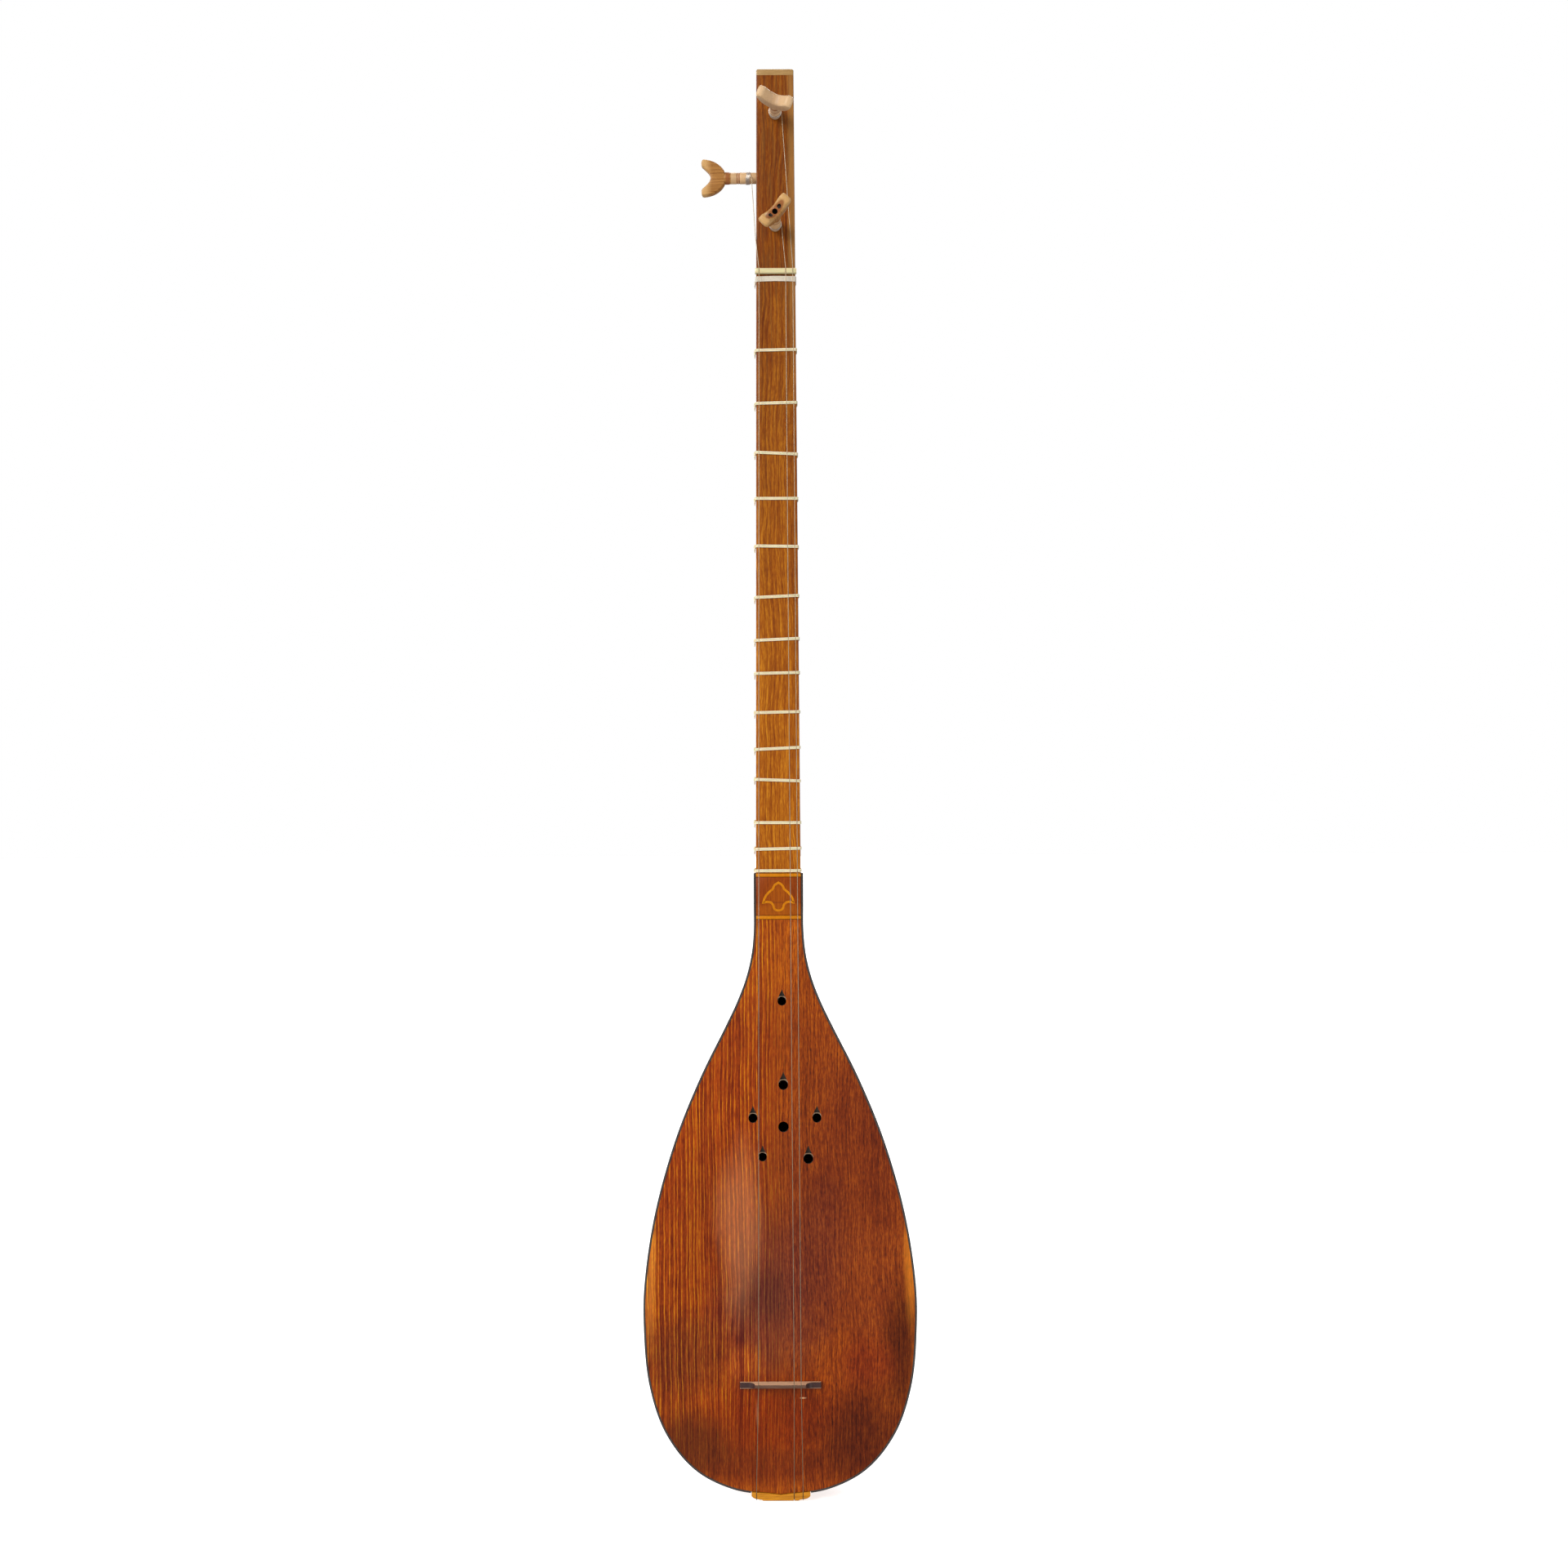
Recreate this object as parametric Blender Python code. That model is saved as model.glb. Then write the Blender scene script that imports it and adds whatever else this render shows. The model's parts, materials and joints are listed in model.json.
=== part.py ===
# Tanbur, a long-necked lute with a ribbed round back, tied frets and three strings.
#
# Sizes are in millimetres and heights are measured up from the tail end of the instrument.
# The mesh helpers turn them into metres and put the world origin on the flat back of the head,
# where a hanger holds the instrument. +Z runs up the neck, -Y is the playing side, +X the treble side.

import math

import bmesh
import bpy
import numpy as np

MM = 0.001
HANGER_Z = 855.15

# One gap between all pieces that touch.
GAP = 0.3

# The playing face of neck and soundboard rim is one plane, and the back of the head is y = 0.
FACE_Y = -26.0
BOARD_THICK = 3.0
BOWL_EDGE_Y = FACE_Y + BOARD_THICK + GAP

# Half outline of the bowl seen from the front, as (half width, height), from neck to tail.
OUTLINE = [
    (16.0, 402.9), (16.0, 384.0), (16.05, 366.0), (17.6, 350.2), (21.5, 334.4), (27.6, 318.7),
    (35.2, 302.9), (50.9, 271.4), (66.9, 232.1), (80.3, 184.8), (87.2, 140.0), (87.9, 113.0),
    (84.5, 74.6), (74.0, 43.1), (55.1, 19.4), (30.2, 6.8), (0.0, 2.6),
]

# The bowl is deeper than half its width, most of all where it takes the neck.
DEPTH_RATIO_BELLY = 1.27
DEPTH_RATIO_NECK = 1.645
RATIO_FROM_Z = 260.0
RATIO_TO_Z = 402.0
STAVES = 9
STAVE_THICK = 3.0
STAVE_CUT_WIDTH = 21.3

RIM_WIDTH = 1.3
BOARD_INSET = RIM_WIDTH + GAP
BOARD_TOP_Z = 373.3
BOARD_CROWN = 1.8
CROWN_Z = 150.0

NECK_END_Z = 403.2
NECK_TOP_Z = 916.1
NECK_HALF_AT_END = 14.4
NECK_HALF_AT_TOP = 12.0
NECK_BACK_AT_END = 2.5
NECK_EDGE = 0.7
HEAD_FROM_Z = 805.0
HEAD_TAPER_Z = 760.0
HEAD_FLAT_HALF = 5.5
CAP_THICK = 3.9

TENON_HALF = 6.0
TENON_FRONT_Y = -19.0
TENON_BACK_Y = -4.0
TENON_END_Z = 378.0

NUT_Z = 790.0
NUT_THICK = 3.4
NUT_HALF = 13.3
NUT_TOP = 2.6
NUT_SEAT = 1.5
BAND_Z = 785.15

# Height of each tied fret, and how much its bass side sits above its treble side.
FRETS = [
    (739.7, -0.4), (705.6, -0.5), (673.3, 1.3), (644.2, 0.1), (613.5, 0.5), (581.2, -1.1),
    (553.6, -1.1), (532.0, -0.5), (506.8, -0.5), (483.5, -1.2), (463.1, 1.1), (435.8, 0.2),
    (419.0, -0.5), (404.9, 0.0),
]
GUT_DIAMETER = 0.62
GUT_PITCH = 1.06
GUT_TURNS = 2
THREAD_DIAMETER = 0.5
THREAD_PITCH = 0.93
THREAD_TURNS = 4
LEAST_GAP = 0.4
# A wound cord's straight steps cut the round back's corners, so it runs this far off the neck.
WOUND_CLEAR = 0.4

# Joint panel and its strips on the bowl's neck, from the upper strip down.
PANEL_HALF = 14.4
UPPER_STRIP = (400.8, 402.9)
PANEL = (376.0, 400.5)
LOWER_STRIP = (373.6, 375.7)
INLAY_WIDTH = 1.2
INLAY_THICK = 0.8
INLAY_DEPTH = 1.1

# Half of the palmette, as (half width, height), from its apex to its foot.
PALMETTE_CORNERS = [
    [(0.0, 397.9), (2.2, 396.2), (3.8, 393.8)],
    [(3.8, 393.8), (6.0, 391.9), (8.2, 389.7), (9.6, 387.0), (10.2, 383.9)],
    [(10.2, 383.9), (7.2, 384.2), (4.6, 383.4)],
    [(4.6, 383.4), (3.2, 381.4), (2.8, 379.5), (1.7, 378.2), (0.0, 377.8)],
]

# Sound holes as (x, height, radius, carved tip or not).
SOUND_HOLES = [
    (1.9, 320.8, 2.1, True), (2.6, 267.0, 3.1, True), (-17.0, 245.7, 2.9, True),
    (24.1, 245.7, 2.9, True), (2.6, 240.2, 3.4, False), (-10.9, 220.8, 2.7, True),
    (18.5, 219.5, 3.1, True),
]
TIP_LENGTH = 3.6
TIP_DEPTH = 2.2

BRIDGE_Z = 76.7
BRIDGE_HEIGHT = 8.5
BRIDGE_BASE = 4.5
BRIDGE_TOP = 1.9
BRIDGE_HALF = 26.0
BRIDGE_BODY_HALF = 16.2
BRIDGE_SCOOP = 5.0
BRIDGE_WING = 2.0
BRIDGE_NOTCH = 0.6
# The strings go down behind the bridge at this angle.
STRING_BREAK = math.radians(7.4)

TAILPIECE_HALF = 18.9
TAILPIECE_PROUD = 1.4
TAILPIECE_FOOT_Y = -15.0
TAILPIECE_FOOT_TOP = 2.2
TAIL_GROOVE = 0.9

STRING_RADIUS = 0.22
STRING_AT_NUT = 2.2
# x of each string at nut, bridge and tailpiece: bass, inner melody, outer melody.
STRING_X = [(-10.7, -14.0, -15.7), (6.4, 8.7, 8.5), (11.0, 13.2, 14.2)]

PEG_RADIUS = 3.65
PEG_FOOT_RADIUS = 3.1
PEG_FOOT_DEPTH = 22.5
SIDE_BORE_DEPTH = 24.0
FRONT_BORE_DEPTH = 40.0
SIDE_PEG_Z = 852.1
SIDE_PEG_Y = -18.0
UPPER_PEG_Z = 891.2
LOWER_PEG_Z = 819.1
LOWER_PEG_X = -0.3
PEG_REACH = 20.0
LOWER_PEG_REACH = 25.0
PEG_HEAD_LENGTH = 15.2
PEG_HEAD_HALF = 11.8
PEG_HEAD_THICK = 7.2
PEG_SIDES = 16
# Half of the peg head's notch and one tip, as (across, distance from the tips towards the shaft).
PEG_NOTCH = [(0.0, 5.1), (1.6, 4.8), (3.1, 3.9), (4.6, 2.5), (6.0, 1.0), (7.2, -0.3)]
PEG_TIP = [(8.4, -0.8), (10.2, -0.7)]
SIDE_PEG_ROLL = math.radians(88)
UPPER_PEG_ROLL = math.radians(-21)
LOWER_PEG_ROLL = math.radians(46)
# How far out of the neck the strings leave their pegs.
SIDE_STRING_OUT = 3.1
FRONT_STRING_OUT = 2.4
WINDING_TURNS = 3
WINDING_PITCH = 0.9


def material(name, colour, roughness, metallic=0.0):
    made = bpy.data.materials.get(name) or bpy.data.materials.new(name)
    made.use_nodes = True
    shader = made.node_tree.nodes["Principled BSDF"]
    shader.inputs["Base Color"].default_value = (*colour, 1.0)
    shader.inputs["Roughness"].default_value = roughness
    shader.inputs["Metallic"].default_value = metallic
    made.diffuse_color = (*colour, 1.0)
    return made


def to_world(point):
    return np.array([point[0], point[1], point[2] - HANGER_Z]) * MM


def link(name, data, origin, finish):
    piece = bpy.data.objects.new(name, data)
    piece.location = to_world(origin)
    data.materials.append(finish)
    bpy.context.scene.collection.objects.link(piece)
    return piece


def finish_mesh(name, shape, origin, finish, smooth=True):
    """Turn a bmesh in millimetres into an object whose origin is at origin."""
    bmesh.ops.recalc_face_normals(shape, faces=shape.faces)
    start = to_world(origin)
    for vertex in shape.verts:
        vertex.co = to_world(vertex.co) - start
    mesh = bpy.data.meshes.new(name)
    shape.to_mesh(mesh)
    shape.free()
    if smooth:
        mesh.shade_smooth()
        mesh.set_sharp_from_angle(angle=math.radians(35))
    return link(name, mesh, origin, finish)


def loft(rings):
    """Skin a row of equal closed rings and close both ends."""
    shape = bmesh.new()
    rows = [[shape.verts.new(point) for point in ring] for ring in rings]
    count = len(rings[0])
    for low, high in zip(rows, rows[1:]):
        for k in range(count):
            after = (k + 1) % count
            shape.faces.new((low[k], low[after], high[after], high[k]))
    shape.faces.new(rows[0])
    shape.faces.new(rows[-1])
    return shape


def box(low, high):
    shape = bmesh.new()
    bmesh.ops.create_cube(shape, size=1.0)
    low, high = np.array(low), np.array(high)
    for vertex in shape.verts:
        vertex.co = (low + high) / 2 + np.array(vertex.co) * (high - low)
    return shape


def guide(name, shape, origin=(0, 0, 0)):
    """A hidden shape that a Boolean reads."""
    piece = finish_mesh(name, shape, origin, material("guide", (0.8, 0.1, 0.1), 0.5), smooth=False)
    piece.hide_render = True
    piece.display_type = "WIRE"
    return piece


def combine(piece, tool, operation):
    step = piece.modifiers.new(f"{operation.lower()} {tool.name}", "BOOLEAN")
    step.operation = operation
    step.solver = "EXACT"
    step.object = tool


def smooth_line(points, steps):
    """Centripetal Catmull-Rom curve through the points, with steps points a span."""
    points = [np.array(point, float) for point in points]
    points = [2 * points[0] - points[1], *points, 2 * points[-1] - points[-2]]
    line = []
    for before, start, end, after in zip(points, points[1:], points[2:], points[3:]):
        knots = [0.0]
        for one, two in ((before, start), (start, end), (end, after)):
            knots.append(knots[-1] + math.sqrt(np.linalg.norm(two - one)))
        for t in np.linspace(knots[1], knots[2], steps, endpoint=False):
            a = [
                (p * (knots[i + 1] - t) + q * (t - knots[i])) / (knots[i + 1] - knots[i])
                for i, (p, q) in enumerate(((before, start), (start, end), (end, after)))
            ]
            b = [
                (a[i] * (knots[i + 2] - t) + a[i + 1] * (t - knots[i])) / (knots[i + 2] - knots[i])
                for i in range(2)
            ]
            line.append((b[0] * (knots[2] - t) + b[1] * (t - knots[1])) / (knots[2] - knots[1]))
    line.append(points[-2])
    return np.array(line)


EDGE = smooth_line(OUTLINE, 12)
EDGE_LENGTH = np.concatenate([[0.0], np.cumsum(np.linalg.norm(np.diff(EDGE, axis=0), axis=1))])
EDGE_SLOPE = np.gradient(EDGE, EDGE_LENGTH, axis=0)


def outline_at(length, inset=0.0):
    """Half width and height on the bowl's outline, moved in by inset."""
    half = np.interp(length, EDGE_LENGTH, EDGE[:, 0])
    height = np.interp(length, EDGE_LENGTH, EDGE[:, 1])
    along = np.array([np.interp(length, EDGE_LENGTH, EDGE_SLOPE[:, k]) for k in (0, 1)])
    along /= np.linalg.norm(along)
    outward = np.array([-along[1], along[0]])
    return half - inset * outward[0], height - inset * outward[1], outward[0]


def length_at_width(half):
    """Outline length from the neck to where the tail end has this half width."""
    widest = int(np.argmax(EDGE[:, 0]))
    return float(np.interp(-half, -EDGE[widest:, 0], EDGE_LENGTH[widest:]))


def length_at_height(height):
    return float(np.interp(-height, -EDGE[:, 1], EDGE_LENGTH))


# Stations along the outline. Staves, blocks, rim and soundboard share them, so that pieces that
# lie along each other keep their gap between the same straight steps.
BLOCK_END = length_at_height(352.0)
BELLY = length_at_height(150.0)
TAIL_BLOCK_FROM = length_at_width(60.0)
STAVE_END = length_at_width(STAVE_CUT_WIDTH)
RIM_END = length_at_width(TAILPIECE_HALF + 0.4)
STATIONS = [
    *np.linspace(0.0, BLOCK_END, 4),
    *np.linspace(BLOCK_END, BELLY, 13)[1:],
    *np.linspace(BELLY, TAIL_BLOCK_FROM, 8)[1:],
    *np.linspace(TAIL_BLOCK_FROM, STAVE_END, 7)[1:],
]


def smoothstep(value):
    value = min(max(value, 0.0), 1.0)
    return value * value * (3 - 2 * value)


def bowl_point(length, angle, inset=0.0):
    """Point on the bowl: angle 0 is the treble edge of the soundboard, 90 degrees the back."""
    half, height, turn = outline_at(length, inset)
    full = outline_at(length)
    deeper = smoothstep((full[1] - RATIO_FROM_Z) / (RATIO_TO_Z - RATIO_FROM_Z))
    ratio = DEPTH_RATIO_BELLY + (DEPTH_RATIO_NECK - DEPTH_RATIO_BELLY) * deeper
    depth = full[0] * ratio - inset * turn
    return np.array([half * math.cos(angle), BOWL_EDGE_Y + depth * math.sin(angle), height])


def stave_angle(length, angle, side, inset):
    """Move a seam's angle so that the stave stops half a gap short of it."""
    if not 0.01 < angle < math.pi - 0.01:
        return angle
    near = bowl_point(length, angle - 0.01, inset)
    far = bowl_point(length, angle + 0.01, inset)
    return angle + side * GAP / 2 * 0.02 / np.linalg.norm(far - near)


def stave(number):
    low_angle = math.pi * number / STAVES
    high_angle = math.pi * (number + 1) / STAVES
    rings = []
    for length in STATIONS:
        ring = []
        for inset, steps in ((0.0, range(4)), (STAVE_THICK, range(3, -1, -1))):
            start = stave_angle(length, low_angle, 1, inset)
            end = stave_angle(length, high_angle, -1, inset)
            ring += [bowl_point(length, start + (end - start) * k / 3, inset) for k in steps]
        rings.append(ring)
    wood = material("bowl mulberry", (0.33, 0.13, 0.04), 0.35)
    finish_mesh(f"bowl_stave_{number + 1}", loft(rings), (0, 0, 0), wood)


def half_round(length, inset, steps=12):
    """Closed ring across the inside of the bowl, flat along the front."""
    ring = [bowl_point(length, math.pi * k / steps, inset) for k in range(steps + 1)]
    for point in ring:
        point[1] = max(point[1], BOWL_EDGE_Y)
    return ring


def neck_block():
    """Block inside the bowl's neck, with the mortise for the neck's tenon."""
    inset = STAVE_THICK + GAP
    rings = [half_round(length, inset) for length in STATIONS if length <= BLOCK_END]
    wood = material("block mulberry", (0.42, 0.22, 0.10), 0.6)
    block = finish_mesh("neck_block", loft(rings), (0, 0, 0), wood)
    mortise = box(
        (-TENON_HALF - GAP, TENON_FRONT_Y - GAP, TENON_END_Z - GAP),
        (TENON_HALF + GAP, TENON_BACK_Y + GAP, NECK_END_Z + 2),
    )
    combine(block, guide("mortise_cutter", mortise), "DIFFERENCE")


def tail_block():
    """Block inside the tail end that the staves are glued on."""
    inset = STAVE_THICK + GAP
    rings = [half_round(length, inset) for length in STATIONS if length >= TAIL_BLOCK_FROM]
    foot = half_round(STAVE_END, inset)
    low = outline_at(STAVE_END)[1]
    shrink = 1.0 - 1.2 / STAVE_CUT_WIDTH
    for point in foot:
        point[0] *= shrink
        point[1] = BOWL_EDGE_Y + (point[1] - BOWL_EDGE_Y) * shrink
        point[2] = low
    rings.append(foot)
    finish_mesh("tail_block", loft(rings), (0, 0, 0), material("block mulberry", (0.42, 0.22, 0.10), 0.6))


def end_cap():
    """Cap over the ends of the staves, rounded like the bowl that it closes."""
    last = EDGE_LENGTH[-1]
    first = length_at_width(STAVE_CUT_WIDTH - 1.2)
    rings = []
    for k in range(4):
        length = first + (last - first) * k / 4.5
        ring = [bowl_point(length, math.pi * step / 12) for step in range(13)]
        rings.append(ring)
    top_z = outline_at(STAVE_END)[1] - GAP
    top = [(x, y, top_z) for x, y, _ in rings[0]]
    for point in rings[0]:
        point[2] = min(point[2], top_z - 0.15)
    finish_mesh("end_cap", loft([top, *rings]), (0, 0, 0), material("cap walnut", (0.09, 0.045, 0.025), 0.4))


def crown(x, height, half):
    """How far the soundboard stands proud of its rim."""
    reach = (BOARD_TOP_Z if height > CROWN_Z else -OUTLINE[-1][1] + 2 * CROWN_Z) - CROWN_Z
    along = max(0.0, 1.0 - ((height - CROWN_Z) / reach) ** 2)
    across = max(0.0, 1.0 - (x / half) ** 2)
    return BOARD_CROWN * along * across


def board_front(x, height):
    """y of the soundboard's face at a point."""
    half = outline_at(length_at_height(height), BOARD_INSET)[0]
    return FACE_Y - crown(x, height, half)


def soundboard():
    columns = 12
    first = length_at_height(BOARD_TOP_Z)
    past_rim = np.linspace(RIM_END, EDGE_LENGTH[-1] - 1.0, 4)
    lengths = [first, *[length for length in STATIONS if length > first + 1.0], *past_rim]
    rings = []
    for length in lengths:
        half, height, _ = outline_at(length, BOARD_INSET)
        front = [half * (2 * j / columns - 1) for j in range(columns + 1)]
        ring = [(x, FACE_Y - crown(x, height, half), height) for x in front]
        ring += [(x, y + BOARD_THICK, z) for x, y, z in reversed(ring)]
        rings.append(ring)
    wood = material("soundboard mulberry", (0.36, 0.13, 0.04), 0.32)
    board = finish_mesh("soundboard", loft(rings), (0, 0, 0), wood)
    combine(board, guide("sound_hole_cutter", hole_cutter()), "DIFFERENCE")
    combine(board, guide("carved_tip_cutter", tip_cutter()), "DIFFERENCE")


def add_rings(shape, rings):
    """Add one more closed loft to a bmesh."""
    part = loft(rings)
    mesh = bpy.data.meshes.new("step")
    part.to_mesh(mesh)
    part.free()
    shape.from_mesh(mesh)
    bpy.data.meshes.remove(mesh)


def hole_cutter():
    shape = bmesh.new()
    for x, height, radius, _ in SOUND_HOLES:
        turns = [2 * math.pi * k / 16 for k in range(16)]
        rings = [
            [(x + radius * math.cos(a), y, height + radius * math.sin(a)) for a in turns]
            for y in (FACE_Y - 6, FACE_Y + 6)
        ]
        add_rings(shape, rings)
    return shape


def tip_cutter():
    """A sloped cut that runs out in a point on the neck side of each hole."""
    shape = bmesh.new()
    for x, height, radius, carved in SOUND_HOLES:
        if not carved:
            continue
        face = board_front(x, height)
        half = radius * 0.72
        foot = height + radius * 0.35
        tip = height + radius + TIP_LENGTH
        rings = [
            [(x - half, face - 1.0, foot), (x + half, face - 1.0, foot), (x, face + TIP_DEPTH, foot)],
            [(x - 0.08, face - 1.0, tip), (x + 0.08, face - 1.0, tip), (x, face - 0.05, tip)],
        ]
        add_rings(shape, rings)
    return shape


def rim(name, side):
    """Binding round one half of the soundboard, from the neck to the tailpiece."""
    rings = []
    for length in [*STATIONS, RIM_END]:
        ring = []
        for inset in (0.0, RIM_WIDTH):
            half, height, _ = outline_at(length, inset)
            ring.append((side * half, height))
        (x0, z0), (x1, z1) = ring
        back = FACE_Y + BOARD_THICK
        rings.append([(x0, FACE_Y, z0), (x1, FACE_Y, z1), (x1, back, z1), (x0, back, z0)])
    finish_mesh(name, loft(rings), (0, 0, 0), material("rim ebony", (0.03, 0.022, 0.02), 0.4))


def mirrored(half_line):
    """Close a half outline that starts and ends on the middle line."""
    return list(half_line) + [(-x, z) for x, z in reversed(half_line[1:-1])]


def offset_outline(outline, distance):
    """Move a closed outline outward, or inward where distance is negative."""
    points = np.array(outline)
    before = np.roll(points, 1, axis=0)
    after = np.roll(points, -1, axis=0)
    moved = []
    for previous, point, following in zip(before, points, after):
        one = (point - previous) / np.linalg.norm(point - previous)
        two = (following - point) / np.linalg.norm(following - point)
        normal = np.array([one[1] + two[1], -one[0] - two[0]])
        normal /= np.linalg.norm(normal)
        spread = max(0.5, float(np.dot(normal, (one[1], -one[0]))))
        moved.append(point - normal * distance / spread)
    return moved


def palmette_band(inner, outer, front_y, back_y):
    """Closed band that follows the palmette outline."""
    half_line = []
    for corner_points in PALMETTE_CORNERS:
        half_line += [tuple(point) for point in smooth_line(corner_points, 2)[:-1]]
    half_line.append(PALMETTE_CORNERS[-1][-1])
    middle = mirrored(half_line)
    inside = offset_outline(middle, inner)
    outside = offset_outline(middle, outer)
    shape = bmesh.new()
    loops = []
    for line, y in ((inside, front_y), (outside, front_y), (outside, back_y), (inside, back_y)):
        loops.append([shape.verts.new((x, y, z)) for x, z in line])
    count = len(middle)
    for one, two in zip(loops, loops[1:] + loops[:1]):
        for k in range(count):
            after = (k + 1) % count
            shape.faces.new((one[k], one[after], two[after], two[k]))
    return shape


def joint_panel():
    low, high = PANEL
    wood = material("panel mulberry", (0.30, 0.06, 0.008), 0.35)
    shape = box((-PANEL_HALF, FACE_Y, low), (PANEL_HALF, FACE_Y + BOARD_THICK, high))
    panel = finish_mesh("joint_panel", shape, (0, 0, 0), wood, smooth=False)
    reach = INLAY_WIDTH / 2
    groove = palmette_band(-reach - GAP, reach + GAP, FACE_Y - 1, FACE_Y + INLAY_DEPTH)
    combine(panel, guide("palmette_cutter", groove), "DIFFERENCE")
    gold = material("inlay wood", (0.55, 0.22, 0.03), 0.3)
    band = palmette_band(-reach, reach, FACE_Y, FACE_Y + INLAY_THICK)
    finish_mesh("panel_inlay", band, (0, 0, 0), gold, smooth=False)
    for name, (start, end) in (("inlay_strip_upper", UPPER_STRIP), ("inlay_strip_lower", LOWER_STRIP)):
        strip = box((-PANEL_HALF, FACE_Y, start), (PANEL_HALF, FACE_Y + BOARD_THICK, end))
        finish_mesh(name, strip, (0, 0, 0), gold, smooth=False)


def neck_half(height):
    part = (height - NECK_END_Z) / (NECK_TOP_Z - NECK_END_Z)
    return NECK_HALF_AT_END + (NECK_HALF_AT_TOP - NECK_HALF_AT_END) * part


def neck_ring(height, grow=0.0, arc_steps=8):
    """Section of the neck, grown outward by grow: flat front, round back, flat back on the head."""
    head = smoothstep((height - HEAD_TAPER_Z) / (HEAD_FROM_Z - HEAD_TAPER_Z))
    lower = min(max((HEAD_FROM_Z - height) / (HEAD_FROM_Z - NECK_END_Z), 0.0), 1.0)
    half = neck_half(height) + grow
    flat = 0.8 + (HEAD_FLAT_HALF - 0.8) * head
    front = FACE_Y - grow
    back = NECK_BACK_AT_END * lower + grow
    side_y = FACE_Y + 8.0
    right = [(half - NECK_EDGE, front), (half, front + NECK_EDGE)]
    for k in range(arc_steps + 1):
        angle = math.pi / 2 * k / arc_steps
        x = flat + (half - flat) * math.cos(angle)
        right.append((x, side_y + (back - side_y) * math.sin(angle)))
    left = [(-x, y) for x, y in reversed(right)]
    return [(x, y, height) for x, y in right + left]


def neck():
    heights = [NECK_END_Z, 580.0, HEAD_TAPER_Z, 772.0, 783.0, 794.0, HEAD_FROM_Z, NECK_TOP_Z]
    wood = material("neck mulberry", (0.36, 0.14, 0.03), 0.35)
    piece = finish_mesh("neck", loft([neck_ring(height) for height in heights]), (0, 0, 0), wood)
    tenon = box((-TENON_HALF, TENON_FRONT_Y, TENON_END_Z), (TENON_HALF, TENON_BACK_Y, NECK_END_Z + 3))
    combine(piece, guide("tenon_shape", tenon), "UNION")
    seat = box(
        (-20, FACE_Y - 5, NUT_Z - NUT_THICK / 2 - GAP),
        (20, FACE_Y + NUT_SEAT + GAP, NUT_Z + NUT_THICK / 2 + GAP),
    )
    combine(piece, guide("nut_seat_cutter", seat), "DIFFERENCE")
    bore_radius = PEG_RADIUS + GAP
    for name, axis_point, direction, _, _ in peg_places():
        depth = SIDE_BORE_DEPTH if name == "peg_side" else FRONT_BORE_DEPTH
        bore = turned_bore(axis_point, direction, bore_radius, depth)
        combine(piece, guide(f"{name}_bore_cutter", bore), "DIFFERENCE")


def head_cap():
    """Light wood cap on the end of the head, its edges rounded."""
    low = NECK_TOP_Z + GAP
    steps = ((low, 0.0), (low + CAP_THICK - 1.3, 0.0), (low + CAP_THICK - 0.4, 0.4), (low + CAP_THICK, 1.3))
    rings = []
    for height, inset in steps:
        ring = neck_ring(NECK_TOP_Z)
        middle_y = FACE_Y / 2
        rings.append([
            (x - math.copysign(min(inset, abs(x)), x), y - math.copysign(inset, y - middle_y), height)
            for x, y, _ in ring
        ])
    finish_mesh("head_cap", loft(rings), (0, 0, 0), material("cap maple", (0.43, 0.25, 0.10), 0.4))


def nut():
    """String nut, seated in a cross slot, with a notch for each string."""
    shape = box(
        (-NUT_HALF, FACE_Y - NUT_TOP, NUT_Z - NUT_THICK / 2),
        (NUT_HALF, FACE_Y + NUT_SEAT, NUT_Z + NUT_THICK / 2),
    )
    top_edges = [
        edge for edge in shape.edges if all(vertex.co.y < FACE_Y for vertex in edge.verts)
    ]
    bmesh.ops.bevel(shape, geom=top_edges, offset=0.6, segments=2, affect="EDGES", profile=0.5)
    bone = material("nut bone", (0.68, 0.59, 0.37), 0.35)
    piece = finish_mesh("nut", shape, (0, 0, 0), bone)
    floor = FACE_Y - STRING_AT_NUT + STRING_RADIUS + GAP
    cutter = bmesh.new()
    for at_nut, _, _ in STRING_X:
        width = STRING_RADIUS + GAP
        ring = [(-width, floor - 3), (width, floor - 3), (width, floor), (-width, floor)]
        add_rings(cutter, [[(at_nut + x, y, NUT_Z + side * 4) for x, y in ring] for side in (-1, 1)])
    combine(piece, guide("nut_notch_cutter", cutter), "DIFFERENCE")


def least_gap(name, points, diameter):
    """Measure and print how near a wound tube comes to itself."""
    points = np.array(points)
    steps = np.linalg.norm(np.diff(points, axis=0), axis=1)
    fine = []
    for start, end, step in zip(points, points[1:], steps):
        count = max(2, int(step / 0.25))
        fine += [start + (end - start) * k / count for k in range(count)]
    fine = np.array(fine)
    along = np.concatenate([[0.0], np.cumsum(np.linalg.norm(np.diff(fine, axis=0), axis=1))])
    nearest = 1e9
    for k in range(0, len(fine), 2):
        apart = np.linalg.norm(fine - fine[k], axis=1)
        apart[np.abs(along - along[k]) < 6 * diameter] = 1e9
        nearest = min(nearest, float(apart.min()))
    gap = nearest - diameter
    print(f"{name}: least gap to itself {gap:.2f} mm")
    assert gap > LEAST_GAP, name


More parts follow.
